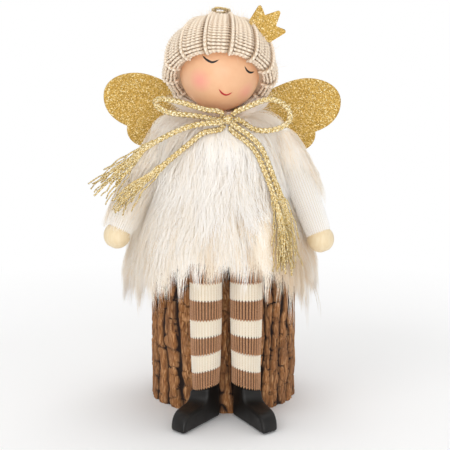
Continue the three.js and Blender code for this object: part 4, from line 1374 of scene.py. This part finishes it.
def before_wings(paths):
    """Pile on the doll's back, from below the wings up, kept in front of them."""
    behind = (paths[..., 2] > WINGS_LOW) & (paths[..., 1] > 15)
    paths[..., 1] = np.where(behind, np.minimum(paths[..., 1], WING_MIDDLE[1] - 0.7), paths[..., 1])
    return paths


def clear_of_head(paths):
    """Hairs pushed out of the head ball, and out of the hat wherever the head's turn takes it."""
    axis = spin(spin(np.array([0, 0, 1.0]), "x", -HAT_TILT_BACK), "y", HAT_TILT_SIDE)
    axes = np.stack([spin(axis, "z", turn) for turn in HEAD_TURNS], 1)
    away = paths - HEAD
    distance = np.linalg.norm(away, axis=-1, keepdims=True)
    in_hat = (away @ axes).max(-1, keepdims=True) > distance * np.cos(np.radians(HAT_COVER + 4))
    least = np.where(in_hat, HAT_OUTER + 0.8, HEAD_RADIUS + 0.5)
    return HEAD + away / distance * np.maximum(distance, least)


def add_pile(name, paths, tone, normal, body):
    """Hairs as one piece of pile, each with its own thickness."""
    hairs = strands(paths, rng.uniform(0.11, 0.19, len(paths)), normal, tone=tone)
    return add_piece(name, hairs, PILE, body, "fur", flat=True)


def sleeve_pile(word, count, reach):
    """Pile over the top of a sleeve: hairs combed along the arm, from roots on the dome and as far down
    as the reach on the front and on the outside of the arm. Each rises and lies down again as a sine."""
    shoulder, along, across = arm_frame(word)
    other = np.cross(along, across)
    angle = rng.uniform(0, TURN, count)
    ring = across * np.cos(angle)[:, None] + other * np.sin(angle)[:, None]
    outside = ease(ring @ np.array([SIDE[word], 0.4, 0.2]) * 1.5)
    start = -7.3 + rng.random(count) * (7.3 + reach[0] + (reach[1] - reach[0]) * outside)
    t = np.linspace(0, 1, HAIR_STEPS)
    length = rng.uniform(14, 23, count)[:, None]
    at = np.minimum(start[:, None] + length * t, ARM_LENGTH - 4 + 3 * t)
    bend = angle[:, None] + rng.normal(size=count)[:, None] * 0.3 * t
    places = [-7.4, -7, -6, -4, -2, 0, 25, 55]
    radius = np.interp(at, places, [0.2, 1.7, 2.9, 4.2, 4.9, 5.4, 8.4, 7.9])
    radius = radius + rng.uniform(1.2, 3.6, count)[:, None] * np.sin(0.88 * np.pi * t) ** 0.8
    ring = across * np.cos(bend)[..., None] + other * np.sin(bend)[..., None]
    paths = shoulder + along * at[..., None] + ring * radius[..., None]
    tone = np.clip(0.65 + 0.25 * rng.normal(size=count), 0, 1)
    add_pile(f"{word}_sleeve_pile", paths, tone, ring[:, 3], f"{word}_arm")


def cloth_shape():
    """The coat's backing cloth: its surface, and the same surface drawn in by the cloth's thickness, as one
    grid closed round both ways."""
    columns, rows = 96, 40
    turn, share = np.meshgrid(TURN * np.arange(columns) / columns, np.linspace(0, 1, rows))
    run = share * coat_length(turn)
    outer = coat_place(turn, run)
    inner = outer - coat_normal(turn, run) * CLOTH_THICK
    shell = np.concatenate([outer, inner[::-1]])
    return Shape(shell.reshape(-1, 3), grid_quads(2 * rows, columns, ring=True))


def build_coat():
    """The cloth, its pile in parts round the doll, the collar's pile, and pile over the sleeves' tops. The
    two parts over the legs are given no body and are fixed where they are made."""
    shape = cloth_shape()
    cloth = add_piece("coat_cloth", shape, CLOTH, "body", "fur", "fur_coat")
    paths, tone, normal, turn = coat_hairs()
    sector = np.searchsorted(PILE_PARTS, turn) % len(PILE_PARTS)
    pile = []
    for k in range(len(PILE_PARTS)):
        word = LEG_PILE.get(k)
        part = paths[sector == k], tone[sector == k], normal[sector == k]
        pile.append(add_pile(f"coat_pile_{k + 1}", *part, None if word else "body"))
        if word:
            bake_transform(pile[-1])
    pile.append(add_pile("collar_pile", *ruff(1300), "body"))
    sleeve_pile("left", 3000, (40, 42))
    sleeve_pile("right", 1500, (6, 24))


# Studio

SKY = 0.56
# Place and size in metres, and power in watts
LAMPS = {
    "key": ((-0.75, -0.95, 1.15), 0.9, 4.8),
    "front": ((0.1, -1.5, 0.2), 1.0, 11.0),
    "fill": ((0.95, -0.85, 0.6), 0.9, 1.2),
    "top": ((0.1, 0.5, 1.4), 1.0, 7.0),
}
LAMPS_AIM = Vector((0, 0, 0.11))
FLOOR_REACH = 9000
CAMERA_PLACE = Vector((0.85, -978.15, 306.9))
CAMERA_DOWN = 12
SENSOR_WIDTH = 36
LENS_LENGTH = 140.35
LIGHT_BOUNCES = 10


def build_world():
    """Even white light from all round, and full white where the camera sees past the floor."""
    world = bpy.context.scene.world or bpy.data.worlds.new("studio")
    bpy.context.scene.world = world
    world.use_nodes = True
    tree = world.node_tree
    tree.nodes.clear()
    output = tree.nodes.new("ShaderNodeOutputWorld")
    rays = tree.nodes.new("ShaderNodeLightPath")
    mix = tree.nodes.new("ShaderNodeMixShader")
    tree.links.new(rays.outputs["Is Camera Ray"], mix.inputs["Fac"])
    for k, strength in ((1, SKY), (2, 1.0)):
        white = tree.nodes.new("ShaderNodeBackground")
        white.inputs["Color"].default_value = (1, 1, 1, 1)
        white.inputs["Strength"].default_value = strength
        tree.links.new(white.outputs[0], mix.inputs[k])
    tree.links.new(mix.outputs[0], output.inputs["Surface"])


def build_lamps():
    """Square soft lamps, all aimed at the doll's middle."""
    for name, (place, size, power) in LAMPS.items():
        lamp = bpy.data.lights.new(name, "AREA")
        lamp.size = size
        lamp.energy = power
        holder = bpy.data.objects.new(name, lamp)
        holder.location = place
        holder.rotation_euler = (LAMPS_AIM - Vector(place)).to_track_quat("-Z", "Y").to_euler()
        bpy.context.collection.objects.link(holder)


def floor_finish():
    """Pale floor that the camera sees plain white away from the object, so that no far edge of light
    shows."""
    f = Finish("pale_floor", Roughness=0.9)
    f.colour(f.ramp(f.noise(f.stretched(600, 600, 600), 1), (0.0, 0.95), (1.0, 0.97)))
    share = f.ramp(f.distance((0, 0, 0)), (0.16, 0.0), (0.34, 1.0))
    seen = f.tree.nodes.new("ShaderNodeLightPath").outputs["Is Camera Ray"]
    white = f.tree.nodes.new("ShaderNodeEmission")
    blend = f.tree.nodes.new("ShaderNodeMixShader")
    f.feed(blend.inputs["Fac"], f.math("MULTIPLY", share, seen))
    f.feed(blend.inputs[1], f.shader.outputs[0])
    f.feed(blend.inputs[2], white.outputs[0])
    f.feed(f.tree.nodes["Material Output"].inputs["Surface"], blend.outputs[0])
    return f.material


def build_floor():
    """One large square under the log."""
    square = np.array([(-1, -1, 0), (1, -1, 0), (1, 1, 0), (-1, 1, 0)]) * FLOOR_REACH * MM
    mesh = bpy.data.meshes.new("floor")
    mesh.from_pydata(square.tolist(), [], [(0, 1, 2, 3)])
    mesh.materials.append(floor_finish())
    floor = bpy.data.objects.new("floor", mesh)
    bpy.context.collection.objects.link(floor)


def build_camera():
    """The photograph's view, and how its picture is shown."""
    lens = bpy.data.cameras.new("camera")
    lens.sensor_width = SENSOR_WIDTH
    lens.lens = LENS_LENGTH
    camera = bpy.data.objects.new("camera", lens)
    camera.location = CAMERA_PLACE * MM
    camera.rotation_euler = (np.radians(90 - CAMERA_DOWN), 0, 0)
    bpy.context.collection.objects.link(camera)
    scene = bpy.context.scene
    scene.camera = camera
    scene.view_settings.view_transform = "Standard"
    scene.cycles.diffuse_bounces = LIGHT_BOUNCES


# Making

build_world()
build_lamps()
build_floor()
build_camera()
LEG_YARN = striped_finish()
# The sleeve's first colour, f0e5d4, is the painted shade deep in its knit
SLEEVE_YARN = yarn_finish("sleeve_yarn", "f0e5d4", "fefbf6", "fffefd")
BEAD_WOOD = wood_finish("bead_wood", "e8d2aa", "eedcba", 0.45, 0.1)
DOWEL_WOOD = wood_finish("dowel_wood", "c9a673", "e3c99c", 0.7)
BOOT_PAINT = boot_finish()
GLITTER = glitter_finish()
GOLD_BRAID = thread_finish("gold_braid", "7a5a18", "deba5e", "fffae2")
GOLD_THREADS = thread_finish("gold_threads", "7e5b18", "dfbb60", "fff8da")
CLOTH = cloth_finish()
PILE = pile_finish()
build_bow()
build_hat_loop()
build_neck_cord()
build_knot()
build_head()
build_hat()
build_log()
build_wings()
build_crown()
for word in ("left", "right"):
    build_leg(word)
    build_sleeve(word)
    build_bead(word)
    build_boot(word)
build_coat()

# Hidden nodes keep the shape of their solids and take a finish
HIDDEN = [
    (DOWEL_WOOD, ["seat_dowel", "neck_dowel", "left_leg_dowel", "right_leg_dowel"]),
    (CLOTH, ["stuffed_body", "left_arm_cord", "right_arm_cord"]),
]
for finish, nodes in HIDDEN:
    for node in nodes:
        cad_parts[node].data.materials.clear()
        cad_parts[node].data.materials.append(finish)
